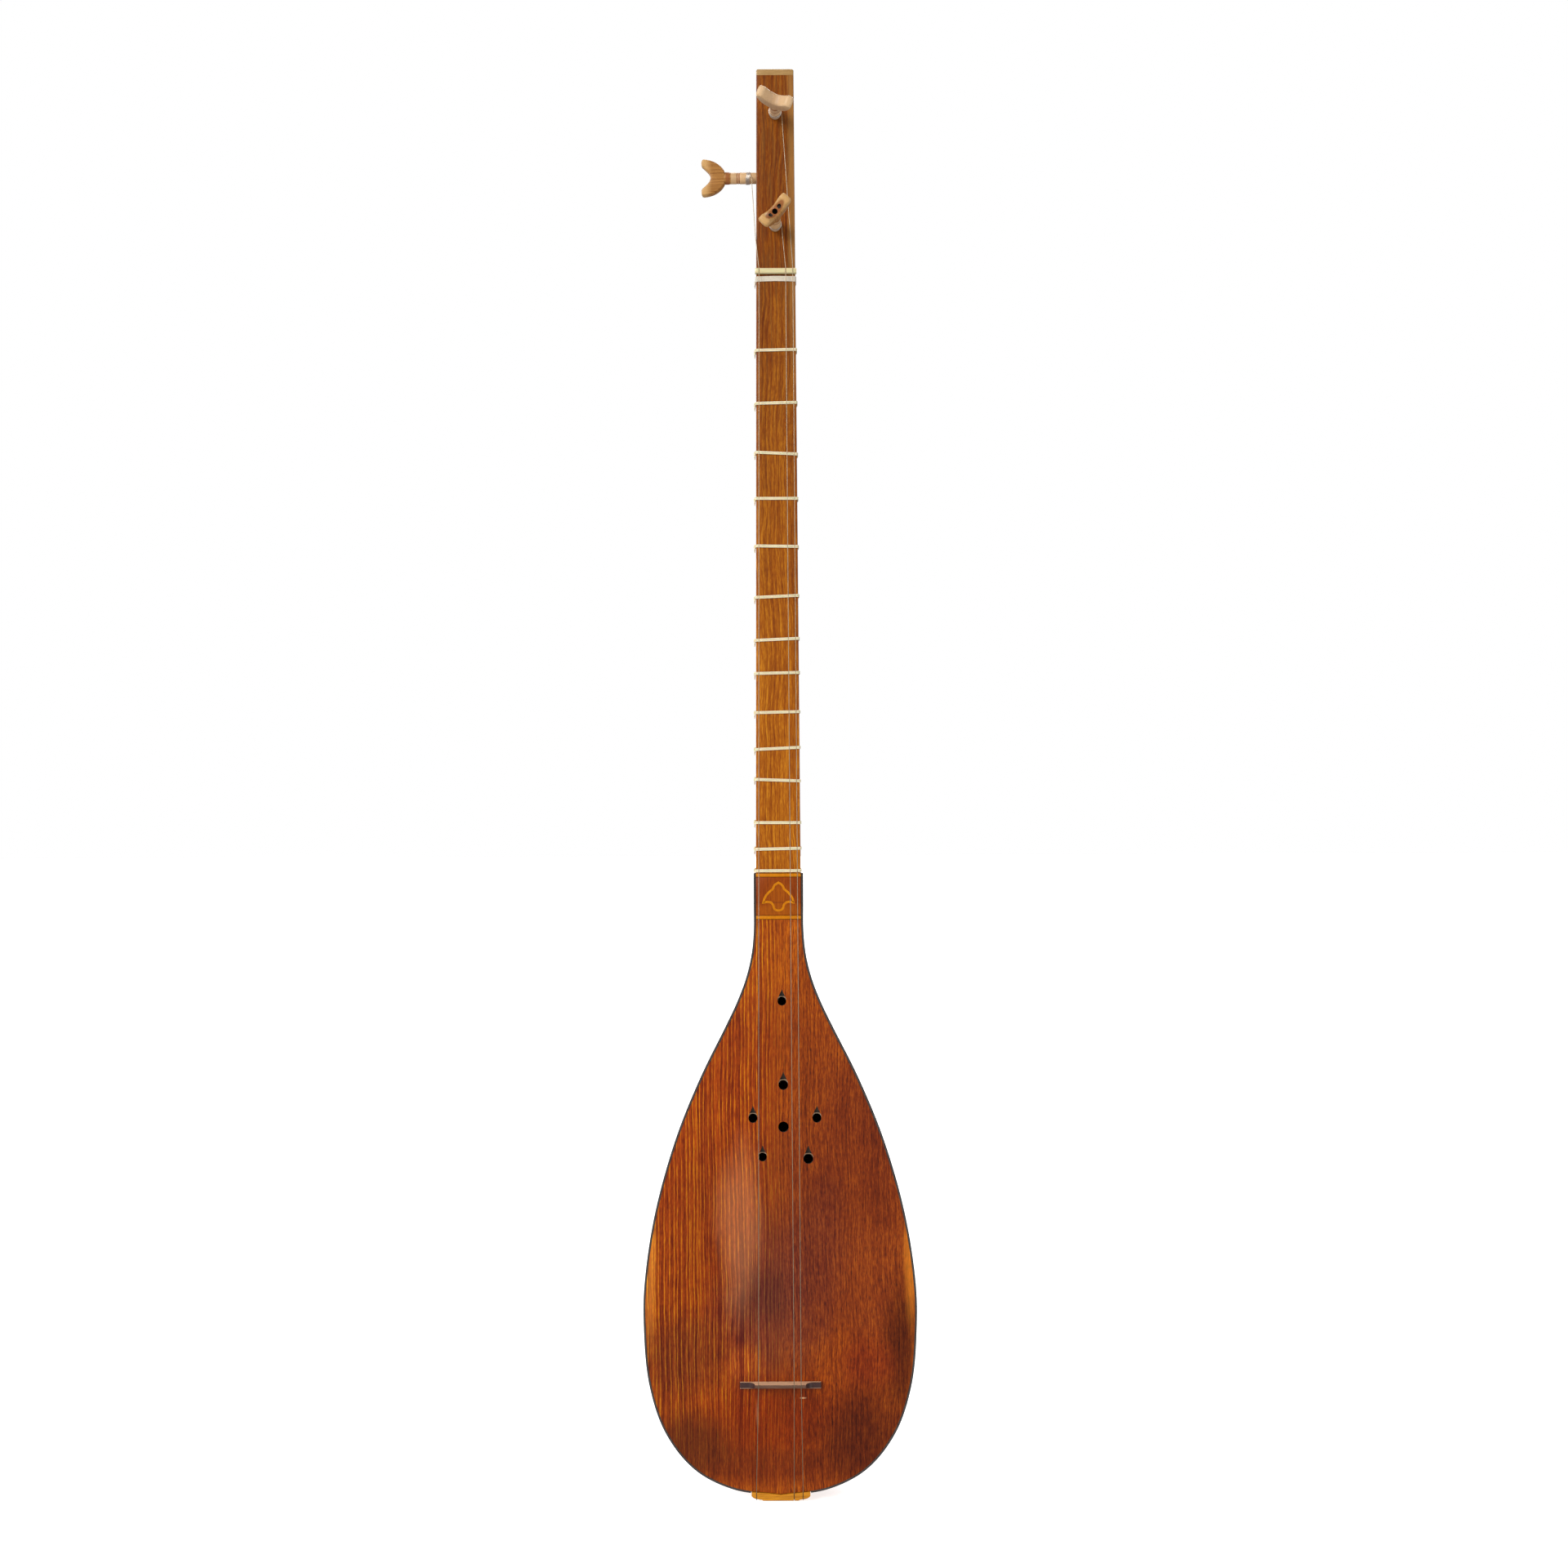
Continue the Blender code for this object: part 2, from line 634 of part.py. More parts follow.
def tube(name, points, radius, finish, origin=(0, 0, 0), resolution=1):
    """A round cord along the points."""
    curve = bpy.data.curves.new(name, "CURVE")
    curve.dimensions = "3D"
    curve.bevel_depth = radius * MM
    curve.bevel_resolution = resolution
    curve.use_fill_caps = True
    line = curve.splines.new("POLY")
    line.points.add(len(points) - 1)
    start = to_world(origin)
    for place, point in zip(line.points, points):
        place.co = (*(to_world(point) - start), 1.0)
    return link(name, curve, origin, finish)


def wound_on_neck(height, diameter, pitch, turns, tilt=0.0):
    """Points of a cord wound round the neck, from its bass side up the neck."""
    ring = neck_ring(height, grow=diameter / 2 + WOUND_CLEAR, arc_steps=5)
    low = height - pitch * turns / 2
    slope = tilt / (2 * neck_half(height))
    count = len(ring)
    start = count - 3
    points = []
    for k in range(count * turns + 1):
        x, y, _ = ring[(start + k) % count]
        points.append((x, y, low + pitch * k / count - slope * x))
    # The first end runs on along the side of the neck. Both ends are straight.
    x, y, z = points[0]
    points[0] = (x, y + 2 * diameter, z)
    return points


def frets():
    gut = material("fret gut", (0.70, 0.60, 0.37), 0.45)
    for number, (height, tilt) in enumerate(FRETS, start=1):
        name = f"fret_{number:02d}"
        points = wound_on_neck(height, GUT_DIAMETER, GUT_PITCH, GUT_TURNS, tilt)
        least_gap(name, points, GUT_DIAMETER)
        tube(name, points, GUT_DIAMETER / 2, gut, origin=(0, FACE_Y / 2, height))


def nut_thread():
    points = wound_on_neck(BAND_Z, THREAD_DIAMETER, THREAD_PITCH, THREAD_TURNS)
    least_gap("nut_thread", points, THREAD_DIAMETER)
    cotton = material("thread cotton", (0.72, 0.62, 0.45), 0.8)
    tube("nut_thread", points, THREAD_DIAMETER / 2, cotton)


def peg_places():
    """Name, point of the axis on the neck's surface, outward direction, reach and head roll of each
    peg, in string order."""
    side = (-neck_half(SIDE_PEG_Z), SIDE_PEG_Y, SIDE_PEG_Z)
    lower = (LOWER_PEG_X, FACE_Y, LOWER_PEG_Z)
    upper = (0.0, FACE_Y, UPPER_PEG_Z)
    return [
        ("peg_side", side, (-1, 0, 0), PEG_REACH, SIDE_PEG_ROLL),
        ("peg_front_lower", lower, (0, -1, 0), LOWER_PEG_REACH, LOWER_PEG_ROLL),
        ("peg_front_upper", upper, (0, -1, 0), PEG_REACH, UPPER_PEG_ROLL),
    ]


def peg_frame(direction):
    """Unit vectors along the peg and across it, the second one level and the third one upright."""
    along = np.array(direction, float)
    up = np.array([0.0, 0.0, 1.0])
    return along, np.cross(up, along), up


def round_rings(point, direction, profile, sides):
    """Rings of a turned shape, from (radius, distance out of the neck) pairs."""
    along, across, up = peg_frame(direction)
    point = np.array(point, float)
    turns = [2 * math.pi * k / sides for k in range(sides)]
    return [
        [point + along * out + (across * math.cos(a) + up * math.sin(a)) * radius for a in turns]
        for radius, out in profile
    ]


def turned_bore(point, direction, radius, depth):
    return loft(round_rings(point, direction, [(radius, -depth), (radius, 3.0)], 24))


def peg_head_outline():
    """Fishtail head, as (across, distance from its tips towards the shaft)."""
    outer = []
    for k in range(15):
        angle = math.radians(4 + 172 * k / 14)
        outer.append((PEG_HEAD_HALF * math.cos(angle), PEG_HEAD_LENGTH * math.sin(angle)))
    inner = PEG_NOTCH + PEG_TIP
    return outer + [(-x, out) for x, out in reversed(inner)] + inner[1:]


def peg(name, point, direction, reach, roll):
    """Friction peg: a tapered shaft with two turned rings, a collar and a fishtail head."""
    first_ring, second_ring = reach - 10.0, reach - 9.0
    profile = [
        (PEG_FOOT_RADIUS, -PEG_FOOT_DEPTH), (PEG_RADIUS - 0.1, -0.5), (PEG_RADIUS, first_ring - 0.4),
        (PEG_RADIUS - 0.3, first_ring), (PEG_RADIUS, (first_ring + second_ring) / 2),
        (PEG_RADIUS - 0.3, second_ring), (PEG_RADIUS, second_ring + 0.5),
        (PEG_RADIUS, reach - 2.6), (PEG_RADIUS + 0.25, reach - 2.0), (PEG_RADIUS + 0.25, reach + 0.4),
        (PEG_RADIUS - 0.7, reach + 2.4), (1.6, reach + 5.0),
    ]
    boxwood = material("peg boxwood", (0.50, 0.27, 0.10), 0.35)
    shape = loft(round_rings(point, direction, profile, PEG_SIDES))
    piece = finish_mesh(name, shape, point, boxwood)
    along, across, up = peg_frame(direction)
    wide = across * math.cos(roll) + up * math.sin(roll)
    thick = np.cross(along, wide)
    tips = np.array(point, float) + along * (reach - 0.5 + PEG_HEAD_LENGTH)
    half = PEG_HEAD_THICK / 2
    middle = np.array([0.0, PEG_HEAD_LENGTH * 0.55])
    rings = []
    for lift, shrink in ((-half, 0.93), (-half + 1.2, 1.0), (half - 1.2, 1.0), (half, 0.93)):
        ring = []
        for flat_point in peg_head_outline():
            x, out = middle + (np.array(flat_point) - middle) * shrink
            ring.append(tips + wide * x - along * out + thick * lift)
        rings.append(ring)
    combine(piece, guide(f"{name}_head_shape", loft(rings), point), "UNION")


def winding(name, point, direction, first_out):
    """String wound on a peg's shaft, from first_out outward."""
    along, across, up = peg_frame(direction)
    radius = PEG_RADIUS + GAP + STRING_RADIUS
    steps = 12
    points = []
    for k in range(steps * WINDING_TURNS + 1):
        angle = 2 * math.pi * k / steps
        out = first_out + WINDING_PITCH * k / steps
        points.append(np.array(point, float) + along * out
                      + (across * math.cos(angle) + up * math.sin(angle)) * radius)
    least_gap(name, points, 2 * STRING_RADIUS)
    steel = material("string steel", (0.62, 0.60, 0.57), 0.3, 1.0)
    tube(name, points, STRING_RADIUS, steel, origin=point)


def string_end(at_bridge, at_tail):
    """The stretch that bass and melody strings share: bridge, tailpiece and its foot."""
    base = board_front(0.0, BRIDGE_Z) - GAP
    over_bridge = base - BRIDGE_HEIGHT + BRIDGE_NOTCH - GAP - STRING_RADIUS
    lip = FACE_Y - TAILPIECE_PROUD + TAIL_GROOVE - GAP - STRING_RADIUS
    under = TAIL_GROOVE - GAP - STRING_RADIUS
    return [
        (at_bridge, over_bridge, BRIDGE_Z + 3.0),
        (at_bridge, over_bridge, BRIDGE_Z - 0.4),
        (at_tail, lip - 0.25, 8.0),
        (at_tail, lip, 6.2),
        (at_tail, lip, under + 0.6),
        (at_tail, lip + 0.18, under + 0.18),
        (at_tail, lip + 0.6, under),
        (at_tail, lip + 7.0, under),
    ]


def string_starts():
    """Where each string leaves its peg, a hair off its winding, and how it goes on to the nut."""
    clear = PEG_RADIUS + GAP + STRING_RADIUS
    front = FACE_Y - FRONT_STRING_OUT
    side_x = -neck_half(SIDE_PEG_Z) - SIDE_STRING_OUT
    bass = [
        (side_x, SIDE_PEG_Y - clear, SIDE_PEG_Z),
        (side_x + 0.1, SIDE_PEG_Y - clear - 0.25, SIDE_PEG_Z - 2.0),
        (-12.95, FACE_Y - 0.5, 812.0),
    ]
    inner = [
        (LOWER_PEG_X + clear, front, LOWER_PEG_Z),
        (LOWER_PEG_X + clear + 0.15, front, LOWER_PEG_Z - 2.0),
    ]
    outer = [(clear, front, UPPER_PEG_Z), (clear + 0.13, front, UPPER_PEG_Z - 2.0)]
    return [bass, inner, outer]


def strings():
    steel = material("string steel", (0.62, 0.60, 0.57), 0.3, 1.0)
    above_nut = FACE_Y - STRING_AT_NUT
    for number, start in enumerate(string_starts()):
        at_nut, at_bridge, at_tail = STRING_X[number]
        over_nut = [(at_nut, above_nut, NUT_Z + 1.4), (at_nut, above_nut - 0.02, NUT_Z - 1.4)]
        tube(f"string_{number + 1}", [*start, *over_nut, *string_end(at_bridge, at_tail)],
             STRING_RADIUS, steel, resolution=2)
    for number, (name, point, direction, _, _) in enumerate(peg_places()):
        leaves = SIDE_STRING_OUT if name == "peg_side" else FRONT_STRING_OUT
        winding(f"string_{number + 1}_winding", point, direction, leaves + 2 * STRING_RADIUS + 0.45)


def bridge_height(x):
    """Height of the bridge's top along its length: level body, scooped wings."""
    out = abs(x) - BRIDGE_BODY_HALF
    if out <= 0:
        return BRIDGE_HEIGHT
    if out >= BRIDGE_SCOOP:
        return BRIDGE_WING
    drop = math.sqrt(1 - (1 - out / BRIDGE_SCOOP) ** 2)
    return BRIDGE_HEIGHT - (BRIDGE_HEIGHT - BRIDGE_WING) * drop


def bridge():
    base = board_front(0.0, BRIDGE_Z) - GAP
    right = [0.15, 0.5, 1.1, 2.0, 3.3, BRIDGE_SCOOP]
    stations = [BRIDGE_BODY_HALF + step for step in right]
    stations = [*stations, BRIDGE_HALF]
    columns = [-x for x in reversed(stations)] + [-BRIDGE_BODY_HALF, BRIDGE_BODY_HALF] + stations
    rings = []
    for x in columns:
        height = bridge_height(x)
        thick = BRIDGE_BASE + (BRIDGE_TOP - BRIDGE_BASE) * height / BRIDGE_HEIGHT
        rings.append([
            (x, base, BRIDGE_Z), (x, base, BRIDGE_Z - BRIDGE_BASE),
            (x, base - height, BRIDGE_Z - thick), (x, base - height, BRIDGE_Z),
        ])
    wood = material("bridge walnut", (0.25, 0.14, 0.08), 0.4)
    middle = (0, base, BRIDGE_Z - BRIDGE_BASE / 2)
    piece = finish_mesh("bridge", loft(rings), middle, wood, smooth=False)
    floor = base - BRIDGE_HEIGHT + BRIDGE_NOTCH
    cutter = bmesh.new()
    drop = 6 * math.tan(STRING_BREAK)
    for _, at_bridge, _ in STRING_X:
        low, high = at_bridge - 0.5, at_bridge + 0.5
        rings = [
            [(low, floor - 4, z), (high, floor - 4, z), (high, y, z), (low, y, z)]
            for z, y in ((BRIDGE_Z + 2, floor), (BRIDGE_Z, floor), (BRIDGE_Z - 6, floor + drop))
        ]
        add_rings(cutter, rings)
    combine(piece, guide("bridge_notch_cutter", cutter, middle), "DIFFERENCE")


def tailpiece():
    """String holder: a lip against the soundboard's tail edge and a foot under the end cap."""
    front = FACE_Y - TAILPIECE_PROUD
    lip_back = FACE_Y + BOARD_THICK
    rings = []
    right = [4.0, 8.0, 11.6, 12.2, 15.2, 17.4, TAILPIECE_HALF]
    bottoms = [0.0, 0.0, 0.0, 0.55, 0.9, 1.6, 3.0]
    columns = [-x for x in reversed(right)] + [0.0] + right
    lows = bottoms[::-1] + [0.0] + bottoms
    for x, low in zip(columns, lows):
        length = length_at_width(abs(x))
        lip_top = outline_at(length, BOARD_INSET)[1] - 1.5 * GAP
        foot_top = min(max(TAILPIECE_FOOT_TOP, low + 0.6), outline_at(length)[1] - 1.5 * GAP)
        rings.append([
            (x, front, low), (x, front, lip_top), (x, lip_back, lip_top),
            (x, lip_back, foot_top), (x, TAILPIECE_FOOT_Y, foot_top), (x, TAILPIECE_FOOT_Y, low),
        ])
    gold = material("tailpiece boxwood", (0.60, 0.26, 0.03), 0.35)
    piece = finish_mesh("tailpiece", loft(rings), (0, 0, 0), gold, smooth=False)
    cutter = bmesh.new()
    for _, _, at_tail in STRING_X:
        low, high = at_tail - 0.55, at_tail + 0.55
        path = [
            (front - 2, 9.0), (front - 2, -2.0), (-18.5, -2.0),
            (-18.5, TAIL_GROOVE), (front + TAIL_GROOVE, TAIL_GROOVE), (front + TAIL_GROOVE, 9.0),
        ]
        add_rings(cutter, [[(x, y, z) for y, z in path] for x in (low, high)])
    combine(piece, guide("string_groove_cutter", cutter), "DIFFERENCE")


def clear_scene():
    for piece in list(bpy.data.objects):
        bpy.data.objects.remove(piece, do_unlink=True)


def build():
    clear_scene()
    for number in range(STAVES):
        stave(number)
    neck_block()
    tail_block()
    end_cap()
    soundboard()
    rim("rim_treble", 1)
    rim("rim_bass", -1)
    joint_panel()
    neck()
    head_cap()
    nut()
    nut_thread()
    frets()
    for place in peg_places():
        peg(*place)
    strings()
    bridge()
    tailpiece()


build()
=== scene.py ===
# The looks of a tanbur, a long-necked lute with a ribbed back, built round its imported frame.
#
# Shapes are in millimetres and heights are measured up from the tail end, as a maker would lay them
# out. at() turns them into the frame's metres. -Y is the playing side and +X the treble side.

import json
import math

import bmesh
import bpy
import numpy as np
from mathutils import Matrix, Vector


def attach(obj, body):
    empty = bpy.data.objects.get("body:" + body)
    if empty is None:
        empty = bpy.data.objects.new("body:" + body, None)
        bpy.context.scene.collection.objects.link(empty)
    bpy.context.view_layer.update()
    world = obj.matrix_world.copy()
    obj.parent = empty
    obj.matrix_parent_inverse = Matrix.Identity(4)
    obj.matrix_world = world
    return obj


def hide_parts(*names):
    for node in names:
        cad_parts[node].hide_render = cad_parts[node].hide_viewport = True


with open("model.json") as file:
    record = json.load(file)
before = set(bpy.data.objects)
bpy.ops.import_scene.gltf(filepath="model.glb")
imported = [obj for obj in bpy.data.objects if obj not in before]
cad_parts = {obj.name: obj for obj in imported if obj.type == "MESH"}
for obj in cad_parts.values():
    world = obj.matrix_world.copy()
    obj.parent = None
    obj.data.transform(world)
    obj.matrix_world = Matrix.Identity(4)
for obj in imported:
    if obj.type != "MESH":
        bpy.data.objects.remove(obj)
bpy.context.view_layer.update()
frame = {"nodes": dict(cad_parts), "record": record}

MM = 0.001
# The hanger holds the head this far above the tail end, and the frame's origin is there.
HANGER_Z = 855.15
BODY_OF = {
    node: body for body, nodes in frame["record"]["behaviour"]["bodies"].items() for node in nodes
}

# Neck face and soundboard rim are one plane, and the back of the head is y = 0.
FACE_Y = -26.0
BOARD_THICK = 3.0
BOWL_EDGE_Y = -22.7
GAP = 0.3
# Glued seams show as a hairline, finer than the frame's gap between touching solids.
SEAM = 0.08

# Half outline of the bowl seen from the front, as (half width, height), from neck to tail.
OUTLINE = [
    (16.0, 402.9), (16.0, 384.0), (16.05, 366.0), (17.6, 350.2), (21.5, 334.4), (27.6, 318.7),
    (35.2, 302.9), (50.9, 271.4), (66.9, 232.1), (80.3, 184.8), (87.2, 140.0), (87.9, 113.0),
    (84.5, 74.6), (74.0, 43.1), (55.1, 19.4), (30.2, 6.8), (0.0, 2.6),
]
DEPTH_RATIO_BELLY = 1.27
DEPTH_RATIO_NECK = 1.645
RATIO_FROM_Z = 260.0
RATIO_TO_Z = 402.0
STAVES = 9
STAVE_THICK = 3.0
STAVE_CUT_WIDTH = 21.3
RIM_WIDTH = 1.3
BOARD_TOP_Z = 373.3
BOARD_CROWN = 1.8
CROWN_Z = 150.0

NECK_END_Z = 403.2
NECK_TOP_Z = 916.1
NECK_HALF_AT_END = 14.4
NECK_HALF_AT_TOP = 12.0
NECK_BACK_AT_END = 2.5
NECK_EDGE = 0.7
HEAD_FROM_Z = 805.0
HEAD_TAPER_Z = 760.0
HEAD_FLAT_HALF = 5.5
CAP_THICK = 3.9
CAP_EDGE = 1.3

NUT_Z = 790.0
NUT_THICK = 3.4
NUT_HALF = 13.3
NUT_TOP = 2.6
NUT_SEAT = 1.5
BAND_Z = 785.15

# Height of each tied fret, and how much its bass side sits above its treble side.
FRETS = [
    (739.7, -0.4), (705.6, -0.5), (673.3, 1.3), (644.2, 0.1), (613.5, 0.5), (581.2, -1.1),
    (553.6, -1.1), (532.0, -0.5), (506.8, -0.5), (483.5, -1.2), (463.1, 1.1), (435.8, 0.2),
    (419.0, -0.5), (404.9, 0.0),
]
GUT_DIAMETER = 0.62
GUT_TURNS = 3
THREAD_DIAMETER = 0.56
THREAD_TURNS = 6
# A cord's grain is laid out round this radius, and stretched by as much along the cord.
CORD_GRAIN = 3.0
# Where the neck's flat side turns into its round back, and the knots sit there: that point of the
# neck's section, counted back from the middle of the face.
SIDE_DEPTH = 8.0
KNOT_FROM_END = 6

PANEL_HALF = 14.4
UPPER_STRIP = (400.8, 402.9)
PANEL = (376.0, 400.5)
LOWER_STRIP = (373.6, 375.7)
INLAY_WIDTH = 1.45
INLAY_THICK = 0.8
# Half of the palmette, as (half width, height), from its apex to its foot.
PALMETTE_CORNERS = [
    [(0.0, 397.0), (2.4, 395.4), (3.7, 392.8)],
    [(3.7, 392.8), (6.0, 390.9), (7.8, 388.9), (9.1, 386.6), (9.7, 384.2)],
    [(9.7, 384.2), (7.0, 384.7), (4.9, 384.3)],
    [(4.9, 384.3), (3.4, 382.6), (3.0, 380.9), (1.8, 379.5), (0.0, 379.1)],
]

# A dark line crosses the panel here, at the palmette's lower corners.
PALMETTE_LINE_Z = 384.3

# Sound holes as (x, height, radius, carved tip or not).
SOUND_HOLES = [
    (1.9, 320.8, 2.8, True), (2.6, 267.0, 3.1, True), (-17.0, 245.7, 2.9, True),
    (24.1, 245.7, 2.9, True), (2.6, 240.2, 3.4, False), (-10.9, 220.8, 2.7, True),
    (18.5, 219.5, 3.1, True),
]
TIP_AT_RADII = 2.75
TIP_DEPTH = 2.2

BRIDGE_Z = 76.7
BRIDGE_HEIGHT = 8.5
BRIDGE_BASE = 4.5
BRIDGE_TOP = 1.9
BRIDGE_HALF = 26.0
BRIDGE_BODY_HALF = 16.2
BRIDGE_SCOOP = 5.0
BRIDGE_WING = 2.0
BRIDGE_NOTCH = 0.6

TAILPIECE_HALF = 18.9
TAILPIECE_PROUD = 1.4
TAILPIECE_FOOT_Y = -15.0
TAIL_GROOVE = 0.9

STRING_RADIUS = 0.22
STRING_AT_NUT = 2.2
# x of each string at nut, bridge and tailpiece: bass, inner melody, outer melody.
STRING_X = [(-10.7, -14.0, -15.7), (6.4, 8.7, 8.5), (11.0, 13.2, 14.2)]

PEG_RADIUS = 3.65
PEG_FOOT_RADIUS = 3.1
PEG_FOOT_DEPTH = 22.5
PEG_BORE_RADIUS = PEG_RADIUS + 0.15
SIDE_BORE_DEPTH = 24.0
FRONT_BORE_DEPTH = 40.0
# How far the shaft stands out, and how far back from there its two burnt rings lie.
PEG_REACH = 20.0
LOWER_PEG_REACH = 25.0
PEG_RINGS = (7.7, 9.0)
PEG_HEAD_SUNK = 0.5
PEG_HEAD_LENGTH = 15.2
PEG_HEAD_HALF = 11.8
PEG_HEAD_THICK = 7.2
PEG_HEAD_EASE = 1.2
# Half of the peg head's notch and one tip, as (across, distance from the tips towards the shaft).
PEG_NOTCH = [(0.0, 5.1), (1.6, 4.8), (3.1, 3.9), (4.6, 2.5), (6.0, 1.0), (7.2, -0.3)]
PEG_TIP = [(8.4, -0.8), (10.2, -0.7)]
SIDE_PEG_Y = -18.0
SIDE_PEG_Z = 852.1
LOWER_PEG_Z = 819.1
UPPER_PEG_Z = 891.2
LOWER_PEG_X = -0.3
# How far out of the neck each string leaves its peg, and its turns there.
SIDE_STRING_OUT = 3.1
FRONT_STRING_OUT = 2.4
WINDING_TURNS = 5
WINDING_LENGTH = 2.7

# Brightness of the room as the wood sees it, where 1 is white.
ROOM_LIGHT = 0.3


def linear(code):
    """An sRGB colour such as "a3541c" as linear red, green, blue and alpha."""
    parts = [int(code[k:k + 2], 16) / 255 for k in (0, 2, 4)]
    return (*[c / 12.92 if c <= 0.04045 else ((c + 0.055) / 1.055) ** 2.4 for c in parts], 1.0)


def at(point):
    return np.array([point[0], point[1], point[2] - HANGER_Z]) * MM


def add(tree, kind, inputs=None, **settings):
    """Add a shader node. An input is a value, a colour code, a socket or a node's first output."""
    node = tree.nodes.new("ShaderNode" + kind)
    for name, value in settings.items():
        setattr(node, name, value)
    for key, value in (inputs or {}).items():
        if isinstance(key, int):
            socket = node.inputs[key]
        else:
            socket = next(s for s in node.inputs if s.name == key and s.enabled)
        if isinstance(value, bpy.types.Node):
            value = next(s for s in value.outputs if s.enabled)
        if isinstance(value, bpy.types.NodeSocket):
            tree.links.new(value, socket)
        else:
            socket.default_value = linear(value) if isinstance(value, str) else value
    return node


def finish(name, roughness, metallic=0.0, coat=0.0, coat_roughness=0.2, ior=1.5):
    """A new material with its shader's even values set, and its tree and shader for the rest."""
    made = bpy.data.materials.new(name)
    made.use_nodes = True
    shader = made.node_tree.nodes["Principled BSDF"]
    shader.inputs["Roughness"].default_value = roughness
    shader.inputs["Metallic"].default_value = metallic
    shader.inputs["Coat Weight"].default_value = coat
    shader.inputs["Coat Roughness"].default_value = coat_roughness
    if not metallic:
        shader.inputs["IOR"].default_value = ior
    return made, made.node_tree, shader


def millimetres(tree):
    """The place on the piece at rest, in millimetres, with height measured from the tail end."""
    place = add(tree, "TexCoord").outputs["Object"]
    scaled = add(tree, "VectorMath", {0: place, "Scale": 1 / MM}, operation="SCALE")
    return add(tree, "VectorMath", {0: scaled, 1: (0, 0, HANGER_Z)}, operation="ADD")


def grain_of(tree):
    """The place along each piece's own grain, in millimetres, which its mesh carries."""
    return add(tree, "Attribute", attribute_name="grain").outputs["Vector"]


